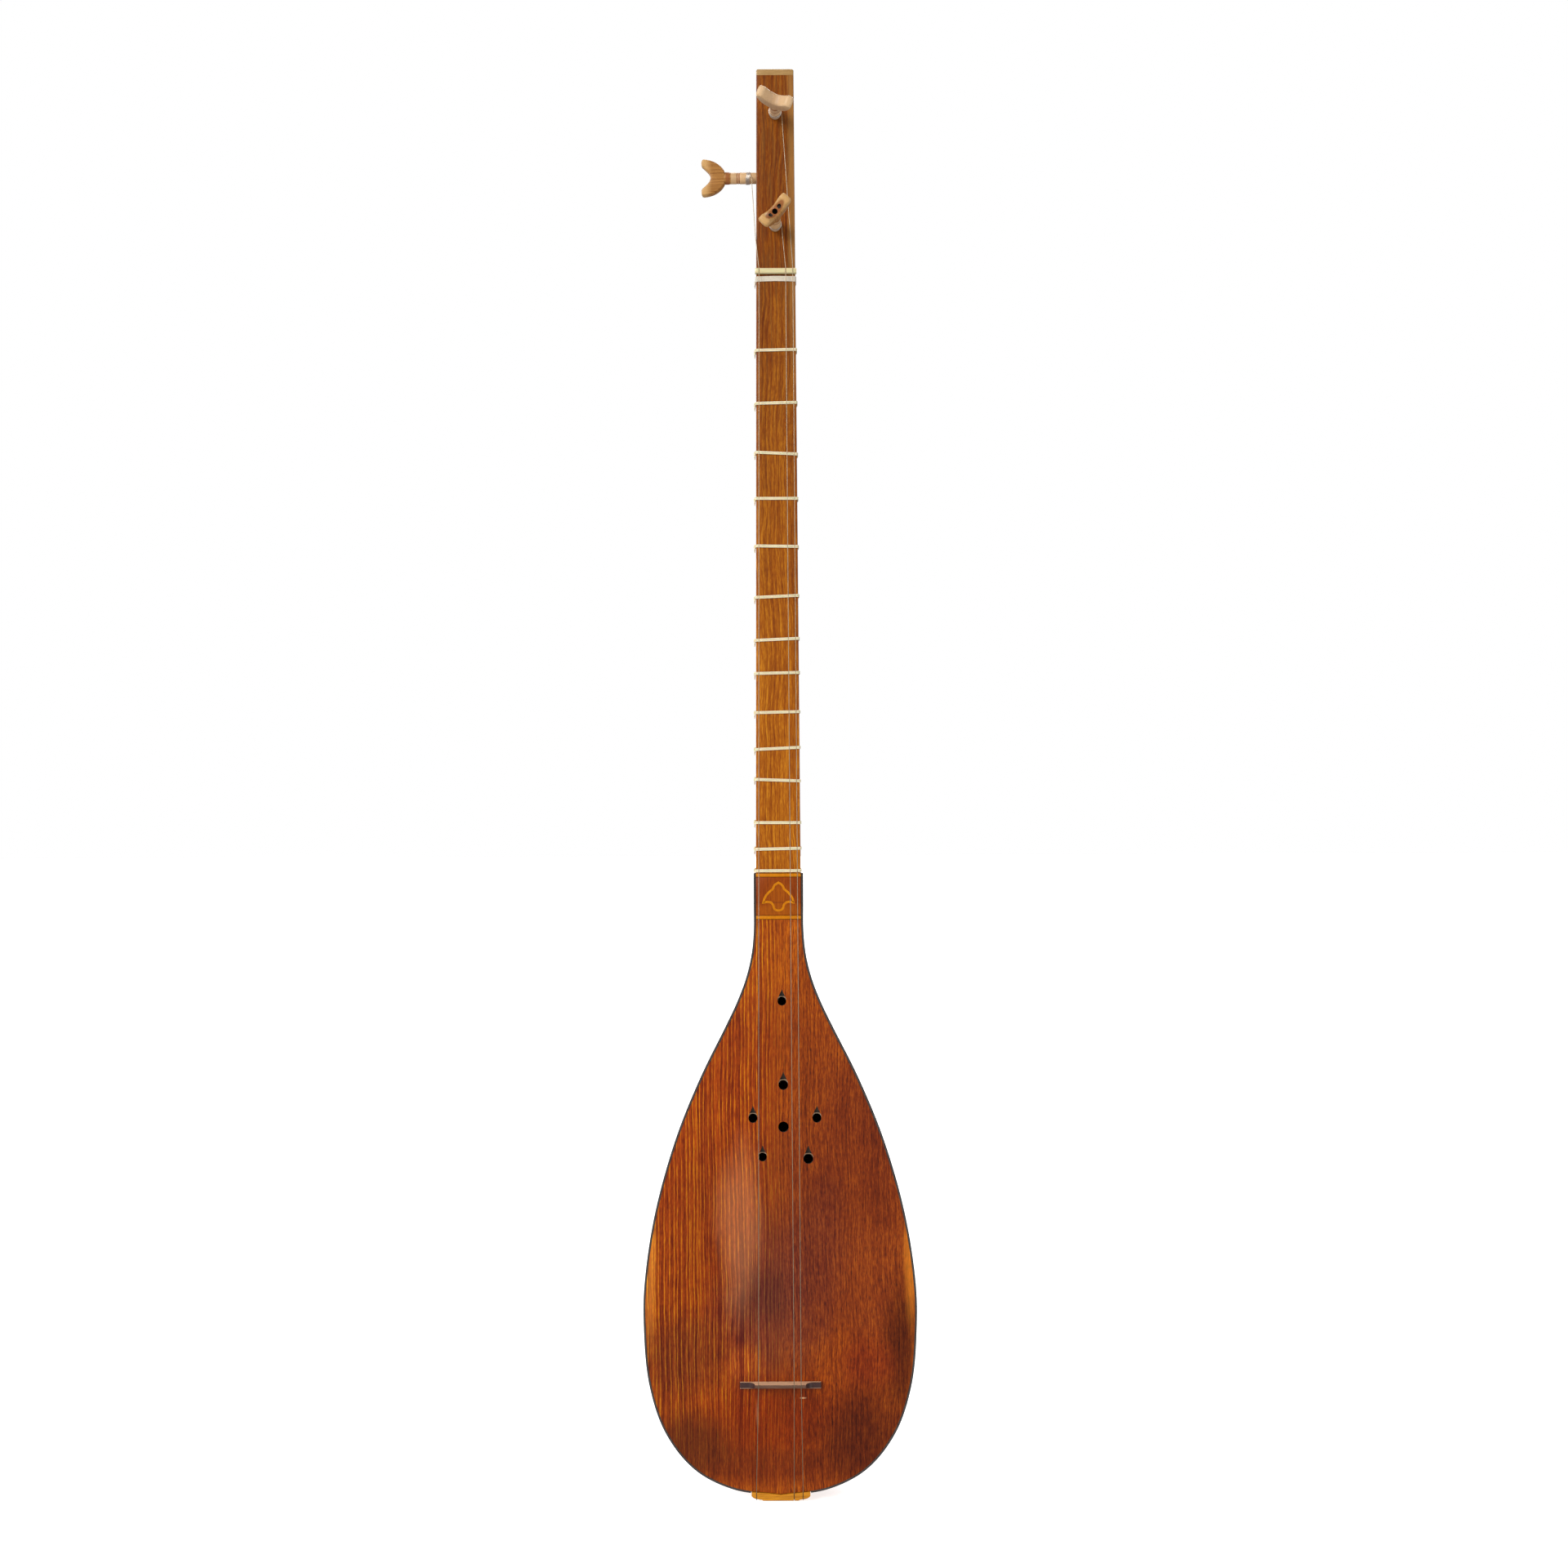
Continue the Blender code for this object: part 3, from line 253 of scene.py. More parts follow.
def grain(tree, place, light, dark, pore, rings=2.4, wander=1.6, contrast=0.6, pores=0.5,
          pore_size=(0.5, 6.0), streak=(9.0, 160.0), fleck=0.5, lines=0.9, middle=None, seed=0.0):
    """Ring-porous wood whose grain runs along Z of place, in millimetres.

    rings is the spacing of the year rings, wander how far they stray sideways, pore_size the width
    and length of the pores, streak those of the broad tone changes and fleck the strength of the
    short silky marks. lines is how dark each year's line is, or how light where it is negative, and
    middle is a tone between light and dark. Gives colour and relief.
    """
    moved = add(tree, "VectorMath", {0: place, 1: (seed, seed * 0.7, seed * 3.1)}, operation="ADD")
    slow = add(tree, "VectorMath", {0: moved, 1: (1 / 45, 1 / 45, 1 / 130)}, operation="MULTIPLY")
    stray = add(tree, "TexNoise", {"Vector": slow, "Scale": 1.0, "Detail": 3.0, "Roughness": 0.5})
    stray = add(tree, "Math", {0: stray, 1: 0.5}, operation="SUBTRACT")
    axes = add(tree, "SeparateXYZ", {0: moved})
    tilt = add(tree, "Math", {0: axes.outputs["Y"], 1: 0.35, 2: axes.outputs["X"]}, operation="MULTIPLY_ADD")
    across = add(tree, "Math", {0: stray, 1: 4 * wander, 2: tilt}, operation="MULTIPLY_ADD")
    ring_place = add(tree, "Math", {0: across, 1: 1 / rings}, operation="MULTIPLY")
    ring = add(tree, "TexVoronoi", {"W": ring_place, "Scale": 1.0, "Randomness": 1.0},
               voronoi_dimensions="1D", feature="DISTANCE_TO_EDGE")
    early = add(tree, "MapRange", {"Value": ring, "From Max": 0.2, "To Min": 1.0,
                                   "To Max": 0.0}, interpolation_type="SMOOTHSTEP")

    # Broad tones, year bands, fibres, silky flecks and short dark dashes, then the open pores.
    straight = add(tree, "CombineXYZ", {"X": across, "Z": axes.outputs["Z"]})
    sizes = ((streak[0], streak[1], 3.0, 0.3), (0.5 * rings, 70 * rings, 2.0, 0.36), (0.7, 26.0, 2.0, 0.36),
             (0.6, 2.8, 2.0, 0.38), (0.8, 9.0, 2.0, 0.38), (*pore_size, 1.0, 0.52))
    parts = []
    for wide, tall, detail, low in sizes:
        scaled = add(tree, "VectorMath", {0: straight, 1: (1 / wide, 1.0, 1 / tall)}, operation="MULTIPLY")
        noise = add(tree, "TexNoise", {"Vector": scaled, "Scale": 1.0, "Detail": detail})
        high = 0.66 if wide == pore_size[0] else 1.0 - low
        parts.append(add(tree, "MapRange", {"Value": noise, "From Min": low, "From Max": high}))
    tone, band, fibre, silk, dash, vessel = parts
    where = add(tree, "Math", {0: early, 1: 0.6, 2: 0.4}, operation="MULTIPLY_ADD")
    vessel = add(tree, "Math", {0: vessel, 1: where}, operation="MULTIPLY")
    faint = add(tree, "Math", {0: band, 1: 0.6, 2: 0.4}, operation="MULTIPLY_ADD")
    faint = add(tree, "Math", {0: faint, 1: early}, operation="MULTIPLY")

    # Each part sways the darkness about its middle, one half.
    darkness = add(tree, "Math", {0: tone, 1: 0.3, 2: 0.35}, operation="MULTIPLY_ADD")
    for part, share, mean in (
        (band, 0.45 * contrast, 0.5), (faint, lines * contrast, 0.3), (fibre, 0.35 * contrast, 0.5),
        (dash, 0.6 * fleck, 0.5), (silk, 0.35 * fleck, 0.5),
    ):
        swayed = add(tree, "Math", {0: part, 1: mean}, operation="SUBTRACT")
        darkness = add(tree, "Math", {0: swayed, 1: share, 2: darkness}, operation="MULTIPLY_ADD")
    colour = add(tree, "ValToRGB", {"Fac": darkness})
    ramp = colour.color_ramp.elements
    ramp[0].color, ramp[1].color = linear(light), linear(dark)
    if middle:
        ramp.new(0.45).color = linear(middle)
    pore_share = add(tree, "Math", {0: vessel, 1: pores}, operation="MULTIPLY", use_clamp=True)
    colour = add(tree, "Mix", {"Factor": pore_share, "A": colour, "B": linear(pore)}, data_type="RGBA")
    relief = add(tree, "Math", {0: band, 1: -0.35, 2: 1.0}, operation="MULTIPLY_ADD")
    relief = add(tree, "Math", {0: vessel, 1: -0.5, 2: relief}, operation="MULTIPLY_ADD")
    return colour, relief


def tinted(tree, colour, place, plain, patches, hazes=()):
    """Let patches of the wood take their own tone.

    Each patch is (x, height, half width, half height, colour there), and keeps the grain under it.
    A haze is given in the same way, and its colour adds to the wood's.
    """
    flat = add(tree, "VectorMath", {0: place, 1: (1, 0, 1)}, operation="MULTIPLY")
    cloud = add(tree, "VectorMath", {0: place, 1: (1 / 22, 1 / 22, 1 / 60)}, operation="MULTIPLY")
    cloud = add(tree, "TexNoise", {"Vector": cloud, "Scale": 1.0, "Detail": 4.0, "Roughness": 0.6})
    ragged = add(tree, "Math", {0: cloud, 1: 0.9, 2: -0.45}, operation="MULTIPLY_ADD")

    def covered(x, height, half_wide, half_high):
        moved = add(tree, "VectorMath", {0: flat, 1: (-x, 0, -height)}, operation="ADD")
        sized = add(tree, "VectorMath", {0: moved, 1: (1 / half_wide, 0, 1 / half_high)},
                    operation="MULTIPLY")
        far = add(tree, "VectorMath", {0: sized}, operation="LENGTH").outputs["Value"]
        far = add(tree, "Math", {0: far, 1: ragged}, operation="ADD")
        return add(tree, "MapRange", {"Value": far, "From Min": 1.25, "From Max": 0.3},
                   interpolation_type="SMOOTHSTEP")

    tint = (1.0, 1.0, 1.0, 1.0)
    for *ellipse, tone in patches:
        ratio = (*[min(a / b, 4.0) for a, b in zip(linear(tone), linear(plain))][:3], 1.0)
        tint = add(tree, "Mix", {"Factor": covered(*ellipse), "A": tint, "B": ratio}, data_type="RGBA")
    colour = add(tree, "Mix", {"Factor": 1.0, "A": colour, "B": tint}, data_type="RGBA",
                 blend_type="MULTIPLY")
    for *ellipse, tone in hazes:
        colour = add(tree, "Mix", {"Factor": covered(*ellipse), "A": colour, "B": tone},
                     data_type="RGBA", blend_type="ADD")
    return colour


def polish(tree, shader, colour, relief, depth):
    """Join colour and relief to the shader. depth is how deep the open grain is, in millimetres."""
    bump = add(tree, "Bump", {"Strength": 0.6, "Distance": depth * MM, "Height": relief})
    tree.links.new(next(s for s in colour.outputs if s.enabled), shader.inputs["Base Color"])
    tree.links.new(bump.outputs["Normal"], shader.inputs["Normal"])


# Patches of the soundboard, as (x, height, half width, half height, colour there).
BOARD_PLAIN = "914408"
BOARD_PATCHES = [
    (-3, 350, 30, 42, "a05008"),
    (-42, 215, 56, 130, "913f05"),
    (-45, 165, 26, 76, "823705"),
    # Darker over the treble half: partly the board's own stain, partly painted shade from a light on the bass
    # side.
    (56, 215, 56, 120, "79340a"),
    (10, 205, 34, 45, "833b0b"),
    (27, 185, 17, 36, "692b0d"),
    (14, 150, 44, 52, "6f3012"),
    (-10, 122, 36, 58, "72351a"),
    (-8, 130, 17, 24, "5c2a1e"),
    (60, 135, 26, 44, "853d0d"),
    (-62, 92, 32, 30, "74340b"),
    (78, 100, 13, 50, "592404"),
    (-22, 88, 12, 14, "9a4c14"),
    (54, 88, 22, 20, "7b3008"),
    (0, 48, 68, 36, "7e2f02"),
    (0, 23, 66, 14, "742f06"),
    (52, 38, 42, 38, "5c2405"),
    (-58, 34, 34, 26, "642c08"),
]
# A painted highlight, the soft sheen of the lamps on the lacquer left of the middle, then the slivers of
# sapwood at both edges and two marks that the strings left under the bridge.
BOARD_HAZES = [
    # Painted highlight: a soft sheen on the lacquer left of the middle.
    (-27, 178, 15, 58, "6a482e"),
    (-84, 160, 5, 60, "6c4c1c"),
    (84, 158, 5, 50, "8a5410"),
    (86, 80, 4, 60, "4c2404"),
    (-15, 56, 1.1, 10, "50402c"),
    (14.4, 66, 2.4, 0.6, "a08c6a"),
]


def mulberry_board():
    """Lacquered mulberry, quartered on the bass side: ring lines and open pores under a satin coat."""
    made, tree, shader = finish("mulberry_soundboard", 0.34, coat=0.05, ior=1.3)
    place = millimetres(tree)
    lined, lined_relief = grain(tree, place, "c67e0c", "641e04", "2c0c08", rings=2.6, wander=2.0,
                                contrast=0.9, pores=0.4, streak=(14.0, 240.0), fleck=0.45, lines=-0.9,
                                middle="a0460a")
    plainer, plain_relief = grain(tree, place, "b0580c", "5a1e05", "2c0c08", rings=2.8, wander=3.0,
                                  contrast=0.55, pores=0.6, pore_size=(0.7, 4.0), streak=(17.0, 60.0),
                                  fleck=0.75, lines=0.3, middle="8c3a08", seed=31.0)
    axes = add(tree, "SeparateXYZ", {0: place}).outputs
    side = add(tree, "MapRange", {"Value": axes["X"], "From Min": -16.0, "From Max": 10.0},
               interpolation_type="SMOOTHSTEP")
    tail = add(tree, "MapRange", {"Value": axes["Z"], "From Min": 70.0, "From Max": 22.0, "To Max": 0.8},
               interpolation_type="SMOOTHSTEP")
    side = add(tree, "Math", {0: side, 1: tail}, operation="MAXIMUM")
    colour = add(tree, "Mix", {"Factor": side, "A": lined, "B": plainer}, data_type="RGBA")
    relief = add(tree, "Mix", {"Factor": side, "A": lined_relief, "B": plain_relief}, data_type="FLOAT")
    colour = tinted(tree, colour, place, BOARD_PLAIN, BOARD_PATCHES, BOARD_HAZES)
    polish(tree, shader, colour, relief, 0.05)
    return made


def mulberry_neck():
    """Lacquered mulberry cut along the log: long wavy streaks, more orange towards the bowl."""
    made, tree, shader = finish("mulberry_neck", 0.33, coat=0.05, ior=1.3)
    place = millimetres(tree)
    colour, relief = grain(tree, place, "c27a18", "783606", "5a2806", rings=3.2, wander=5.0,
                           contrast=0.75, pores=0.4, pore_size=(0.5, 8.0), streak=(4.5, 55.0),
                           fleck=0.6, lines=0.5, middle="9c5409")
    axes = add(tree, "SeparateXYZ", {0: place}).outputs
    top = add(tree, "MapRange", {"Value": axes["Z"], "From Min": 500.0, "From Max": 810.0})
    aged = add(tree, "Mix", {"Factor": 1.0, "A": colour, "B": (0.56, 0.46, 0.4, 1.0)},
               data_type="RGBA", blend_type="MULTIPLY")
    drawn = add(tree, "VectorMath", {0: place, 1: (1 / 1.3, 1 / 1.3, 1 / 45)}, operation="MULTIPLY")
    drawn = add(tree, "TexNoise", {"Vector": drawn, "Scale": 1.0, "Detail": 3.0})
    drawn = add(tree, "MapRange", {"Value": drawn, "From Min": 0.45, "From Max": 0.7, "To Max": 0.5})
    aged = add(tree, "Mix", {"Factor": drawn, "A": aged, "B": "6e4c22"}, data_type="RGBA")
    colour = add(tree, "Mix", {"Factor": top, "A": colour, "B": aged}, data_type="RGBA")
    # Painted highlight: a paler strip along the head's treble edge, near its face.
    treble_highlight = add(tree, "MapRange", {"Value": axes["X"], "From Min": 7.0, "From Max": 9.5})
    on_head = add(tree, "MapRange", {"Value": axes["Z"], "From Min": 700.0, "From Max": 800.0})
    on_face = add(tree, "MapRange", {"Value": axes["Y"], "From Min": FACE_Y + 9.0,
                                     "From Max": FACE_Y + 1.0, "To Max": 0.55})
    pale = add(tree, "Math", {0: treble_highlight, 1: on_head}, operation="MULTIPLY")
    pale = add(tree, "Math", {0: pale, 1: on_face}, operation="MULTIPLY")
    colour = add(tree, "Mix", {"Factor": pale, "A": colour, "B": "a0743c"}, data_type="RGBA")
    polish(tree, shader, colour, relief, 0.04)
    return made


def mulberry_panel():
    """Red-brown mulberry under the same coat, more golden in the palmette and under its corners."""
    made, tree, shader = finish("mulberry_panel", 0.33, coat=0.05, ior=1.3)
    place = millimetres(tree)
    colour, relief = grain(tree, place, "964305", "6c2802", "441701", rings=2.2, contrast=0.4,
                           pores=0.4, streak=(6.0, 60.0), seed=12.0)
    colour = tinted(tree, colour, place, "853806", [(0, 389, 8, 9, "944606"), (0, 379, 20, 5.5, "984a08")])
    height = add(tree, "SeparateXYZ", {0: place}).outputs["Z"]
    line = add(tree, "Math", {0: height, 1: PALMETTE_LINE_Z}, operation="SUBTRACT")
    line = add(tree, "Math", {0: line}, operation="ABSOLUTE")
    line = add(tree, "MapRange", {"Value": line, "From Min": 0.35, "From Max": 0.1, "To Max": 0.6})
    colour = add(tree, "Mix", {"Factor": line, "A": colour, "B": "5a240c"}, data_type="RGBA")
    polish(tree, shader, colour, relief, 0.04)
    return made


def mulberry_staves():
    """Lacquered mulberry bent over a mould: each stave has its own tone, its grain along its length."""
    made, tree, shader = finish("mulberry_staves", 0.36, coat=0.08, ior=1.36)
    place = grain_of(tree)
    colour, relief = grain(tree, place, "b8690f", "652a08", "3a180a", rings=4.2, wander=2.5,
                           contrast=0.5, pores=0.5, streak=(11.0, 150.0), middle="94480c")
    stave = add(tree, "Attribute", attribute_name="tone").outputs["Fac"]
    shade = add(tree, "Mix", {"Factor": 1.0, "A": colour, "B": (0.62, 0.55, 0.5, 1.0)},
                data_type="RGBA", blend_type="MULTIPLY")
    colour = add(tree, "Mix", {"Factor": stave, "A": colour, "B": shade}, data_type="RGBA")
    # The dark glue line, drawn three times as wide as it is so that it shows.
    seam = add(tree, "Attribute", attribute_name="from_seam").outputs["Fac"]
    glue = add(tree, "MapRange", {"Value": seam, "From Min": 0.2, "From Max": 0.6, "To Min": 0.85,
                                  "To Max": 0.0})
    colour = add(tree, "Mix", {"Factor": glue, "A": colour, "B": "2c1408"}, data_type="RGBA")
    polish(tree, shader, colour, relief, 0.05)
    return made


# Woods with nothing drawn on their grain, by name: how they are finished, their light, dark and pore
# tones, how deep the open grain is in millimetres, whether it runs across the piece, and its figure.
PLAIN_WOODS = {
    # Bare sawn mulberry inside the bowl: pale and dull.
    "sawn_block": ({"roughness": 0.75}, ("b98a4e", "8c5c2c", "6a4420"), 0.15, False, {"seed": 50.0}),
    # Oiled walnut over the ends of the staves: dark, even, a soft shine.
    "walnut_end_cap": (
        {"roughness": 0.45, "coat": 0.05, "ior": 1.38}, ("5b3a24", "35200f", "1e1009"), 0.05, False,
        {"seed": 8.0},
    ),
    # Pale maple on the end of the head, its grain crosswise: light and satin.
    "maple_head_cap": (
        {"roughness": 0.45, "coat": 0.15}, ("ac874e", "876232", "664620"), 0.03, True,
        {"rings": 1.6, "contrast": 0.5, "pores": 0.2, "streak": (5.0, 30.0), "seed": 3.0},
    ),
    # Orange wood let in flush and lacquered over: a clean golden line.
    "golden_inlay_wood": (
        {"roughness": 0.33, "coat": 0.05, "ior": 1.3}, ("d08106", "ae5f04", "824202"), 0.02, False,
        {"rings": 1.4, "contrast": 0.25, "pores": 0.2, "streak": (4.0, 14.0), "seed": 20.0},
    ),
    # A dark binding: a dark line with a dull gleam.
    "dark_rim_binding": (
        {"roughness": 0.4, "ior": 1.4}, ("4a4644", "2a2523", "161210"), 0.03, False,
        {"rings": 1.2, "contrast": 0.3, "pores": 0.3, "seed": 40.0},
    ),
    # Polished boxwood, close-grained and golden.
    "boxwood_tailpiece": (
        {"roughness": 0.32, "coat": 0.15, "coat_roughness": 0.18, "ior": 1.42},
        ("d08a1c", "93550c", "784206"), 0.02, True,
        {"rings": 1.5, "contrast": 0.6, "pores": 0.2, "streak": (4.0, 20.0), "seed": 27.0},
    ),
    # The bridge's neck side: beige, a painted highlight of the light from above on the walnut, rubbed smooth.
    "walnut_lit_face": (
        {"roughness": 0.4, "ior": 1.42}, ("e6c09c", "c49c78", "94745a"), 0.02, True,
        {"rings": 1.8, "contrast": 0.3, "pores": 0.25, "streak": (3.0, 25.0), "seed": 16.0},
    ),
    # Painted shade in the bores, gouges and peg holes: nearly black and quite dull.
    "painted_hollow_shade": (
        {"roughness": 0.8}, ("2c2014", "140d08", "080504"), 0.1, False, {"rings": 1.0, "seed": 2.0},
    ),
    # A painted highlight on the slanting cut over each hole, where it catches the light: pale and dry.
    "lit_cut_mulberry": (
        {"roughness": 0.6}, ("ab937a", "84684e", "644a30"), 0.08, False, {"rings": 1.2, "seed": 14.0},
    ),
}


def crosswise(tree, place):
    """Turn the place so that the grain runs along X."""
    return add(tree, "Mapping", {"Vector": place, "Rotation": (0, math.radians(90), 0)})


def plain_wood(name):
    look, tones, depth, across, figure = PLAIN_WOODS[name]
    made, tree, shader = finish(name, **look)
    place = millimetres(tree)
    if across:
        place = crosswise(tree, place)
    colour, relief = grain(tree, place, *tones, **figure)
    polish(tree, shader, colour, relief, depth)
    return made


def walnut_bridge():
    """Waxed walnut, darkest on its scooped wings, with a painted highlight along the foot of its tail side.
    """
    made, tree, shader = finish("walnut_bridge", 0.4, ior=1.42)
    place = millimetres(tree)
    colour, relief = grain(tree, crosswise(tree, place), "6a4c3c", "4a342a", "2c1e18", rings=1.3,
                           contrast=0.4, pores=0.3, streak=(3.0, 20.0), seed=6.0)
    axes = add(tree, "SeparateXYZ", {0: place}).outputs
    out = add(tree, "Math", {0: axes["X"]}, operation="ABSOLUTE")
    wing = add(tree, "MapRange", {"Value": out, "From Min": BRIDGE_BODY_HALF - 0.4,
                                  "From Max": BRIDGE_BODY_HALF + 0.8})
    colour = add(tree, "Mix", {"Factor": wing, "A": colour, "B": "3c2826"}, data_type="RGBA")
    # Painted highlight: a pale glint along the foot of the tail side.
    foot_glint = add(tree, "MapRange", {"Value": axes["Z"], "From Min": BRIDGE_Z - BRIDGE_BASE + 1.2,
                                    "From Max": BRIDGE_Z - BRIDGE_BASE + 0.7,
                                    "To Max": 0.8})
    colour = add(tree, "Mix", {"Factor": foot_glint, "A": colour, "B": "b08a70"}, data_type="RGBA")
    polish(tree, shader, colour, relief, 0.03)
    return made


def pear_wood_peg(dark_channel=False, worn=0.0):
    """Pear wood, pale on the shaft and oiled on the head, with rings burnt in by a wire.

    The channel option darkens a soft channel round the holes in the end of the head. worn is the share of
    the oil that handling took off, which leaves the wood paler and greyer.
    """
    made, tree, shader = finish("pear_wood_peg", 0.46, ior=1.36)
    place = grain_of(tree)
    colour, relief = grain(tree, place, "ac783c", "7a4a18", "582f0e", rings=1.8, wander=1.5,
                           contrast=0.6, pores=0.25, streak=(4.0, 26.0), fleck=0.3)
    axes = add(tree, "SeparateXYZ", {0: place})
    out = axes.outputs["Z"]
    pale = add(tree, "MapRange", {"Value": out, "From Min": PEG_HEAD_LENGTH + 2.6,
                                  "From Max": PEG_HEAD_LENGTH + 3.4, "To Max": 0.8})
    colour = add(tree, "Mix", {"Factor": pale, "A": colour, "B": "d4b084"}, data_type="RGBA")
    tips = add(tree, "MapRange", {"Value": out, "From Min": 6.0, "From Max": 2.0, "To Max": 0.7})
    colour = add(tree, "Mix", {"Factor": tips, "A": colour, "B": "cca268"}, data_type="RGBA")
    if worn:
        colour = add(tree, "Mix", {"Factor": worn, "A": colour, "B": "d8bc9c"}, data_type="RGBA")
    # The collar under the head and the pair of rings half way down the shaft.
    rings = [(PEG_HEAD_LENGTH + ring - PEG_HEAD_SUNK, 0.6, 0.75) for ring in PEG_RINGS]
    for middle, half, share in [(PEG_HEAD_LENGTH + 1.0, 1.6, 0.7), *rings]:
        off = add(tree, "Math", {0: out, 1: middle}, operation="SUBTRACT")
        off = add(tree, "Math", {0: off}, operation="ABSOLUTE")
        burnt = add(tree, "MapRange",
                    {"Value": off, "From Min": half, "From Max": half * 0.5, "To Max": share})
        colour = add(tree, "Mix", {"Factor": burnt, "A": colour, "B": "8a4c28"}, data_type="RGBA")
    if dark_channel:
        # Darker round the holes in the end of the head.
        near = add(tree, "VectorMath", {0: place, 1: (1 / 8.2, 1 / 3.0, 1 / 12.0)}, operation="MULTIPLY")
        near = add(tree, "VectorMath", {0: near}, operation="LENGTH").outputs["Value"]
        channel = add(tree, "MapRange", {"Value": near, "From Min": 1.08, "From Max": 0.8,
                                         "To Max": 0.8}, interpolation_type="SMOOTHSTEP")
        colour = add(tree, "Mix", {"Factor": channel, "A": colour, "B": "8c4c26"}, data_type="RGBA")
    polish(tree, shader, colour, relief, 0.03)
    return made


def nut_bone():
    """Camel bone, filed and polished: ivory with faint darker fibres along its length."""
    made, tree, shader = finish("polished_bone", 0.32, coat=0.2)
    shader.inputs["Subsurface Weight"].default_value = 0.15
    shader.inputs["Subsurface Scale"].default_value = 0.001
    place = millimetres(tree)
    stretched = add(tree, "VectorMath", {0: place, 1: (1 / 6, 1 / 0.5, 1 / 0.5)}, operation="MULTIPLY")
    fibre = add(tree, "TexNoise", {"Vector": stretched, "Scale": 1.0, "Detail": 3.0})
    colour = add(tree, "Mix", {"Factor": fibre, "A": "dcd0a4", "B": "c4b684"}, data_type="RGBA")
    polish(tree, shader, colour, fibre, 0.02)
    return made


def gut():
    """Twisted gut, waxed: cream, a little glassy, with the twist showing as fine slanting lines."""
    made, tree, shader = finish("waxed_gut", 0.4, coat=0.1)
    shader.inputs["Subsurface Weight"].default_value = 0.15
    shader.inputs["Subsurface Scale"].default_value = 0.0006
    place = grain_of(tree)
    twist = add(tree, "TexWave", {"Vector": place, "Scale": 0.9, "Distortion": 0.6}, wave_type="BANDS",
                bands_direction="DIAGONAL")
    slow = add(tree, "TexNoise", {"Vector": place, "Scale": 0.12, "Detail": 2.0})
    colour = add(tree, "Mix", {"Factor": slow, "A": "e8dcb4", "B": "cdbb8c"}, data_type="RGBA")
    colour = add(tree, "Mix", {"Factor": twist, "A": colour, "B": "efe6c8"}, data_type="RGBA")
    polish(tree, shader, colour, twist, 0.03)
    return made


def cotton_thread():
    """Two-ply cotton thread: matt white with the ply's slanting furrows."""
    made, tree, shader = finish("cotton_thread", 0.9)
    shader.inputs["Sheen Weight"].default_value = 0.3
    place = grain_of(tree)
    ply = add(tree, "TexWave", {"Vector": place, "Scale": 1.3, "Distortion": 0.4}, wave_type="BANDS",
              bands_direction="DIAGONAL")
    colour = add(tree, "Mix", {"Factor": ply, "A": "dacdb8", "B": "f0e7d6"}, data_type="RGBA")
    polish(tree, shader, colour, ply, 0.1)
    return made


def music_wire(light, dark):
    """Drawn steel wire: bright, with fine die lines along it."""
    made, tree, shader = finish("drawn_steel_wire", 0.45, metallic=1.0)
    place = grain_of(tree)
    lines = add(tree, "TexNoise", {"Vector": place, "Scale": 0.4, "Detail": 2.0})
    colour = add(tree, "Mix", {"Factor": lines, "A": light, "B": dark}, data_type="RGBA")
    polish(tree, shader, colour, lines, 0.01)
    return made


def shade(mesh, angle=35):
    mesh.shade_smooth()
    mesh.set_sharp_from_angle(angle=math.radians(angle))


def placed(name, data):
    """A new object, linked to the scene."""
    made = bpy.data.objects.new(name, data)
    bpy.context.scene.collection.objects.link(made)
    return made


def new_object(name, shape, finishes, angle=35):
    """Turn a bmesh in millimetres into an object at the frame's origin, in metres."""
    bmesh.ops.recalc_face_normals(shape, faces=shape.faces)
    for vertex in shape.verts:
        vertex.co = at(vertex.co)
    mesh = bpy.data.meshes.new(name)
    shape.to_mesh(mesh)
    shape.free()
    shade(mesh, angle)
    for made in finishes:
        mesh.materials.append(made)
    return placed(name, mesh)


def combine(piece, shape, made, operation="DIFFERENCE", angle=35, crossing=False):
    """Apply one Boolean with a bmesh, whose faces bring the finish made.

    crossing says that the bmesh's own bodies run through each other.
    """
    tool = new_object("tool", shape, [made])
    step = piece.modifiers.new("shape", "BOOLEAN")
    step.operation = operation
    step.solver = "EXACT"
    step.use_self = crossing
    step.material_mode = "TRANSFER"
    step.object = tool
    bpy.context.view_layer.update()
    graph = bpy.context.evaluated_depsgraph_get()
    result = bpy.data.meshes.new_from_object(piece.evaluated_get(graph))
    piece.modifiers.clear()
    piece.data = result
    bpy.data.objects.remove(tool)
    shade(result, angle)


def stands_for(piece, node):
    """The piece takes a CAD node's place: its body and its space."""
    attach(piece, BODY_OF[node])
    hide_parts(node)


def set_grain(piece, places, name="grain"):
    """Store a vector in millimetres, or a number, for each vertex."""
    places = np.array(places, np.float32)
    kind = "FLOAT_VECTOR" if places.ndim == 2 else "FLOAT"
    field = "vector" if places.ndim == 2 else "value"
    piece.data.attributes.new(name, kind, "POINT").data.foreach_set(field, places.ravel())


def skin(shape, rings, closed=False):
    """Skin a row of equal closed rings. An open row gets end faces, a closed one joins its ends."""
    rows = [[shape.verts.new(point) for point in ring] for ring in rings]
    count = len(rings[0])
    pairs = list(zip(rows, rows[1:] + rows[:1])) if closed else list(zip(rows, rows[1:]))
    faces = []
    for low, high in pairs:
        for k in range(count):
            after = (k + 1) % count
            faces.append(shape.faces.new((low[k], low[after], high[after], high[k])))
    if not closed:
        faces += [shape.faces.new(rows[0]), shape.faces.new(rows[-1])]
    return faces


def skinned(name, rings, finishes, angle=35):
    """A new object skinned over one open row of rings."""
    shape = bmesh.new()
    skin(shape, rings)
    return new_object(name, shape, finishes, angle)


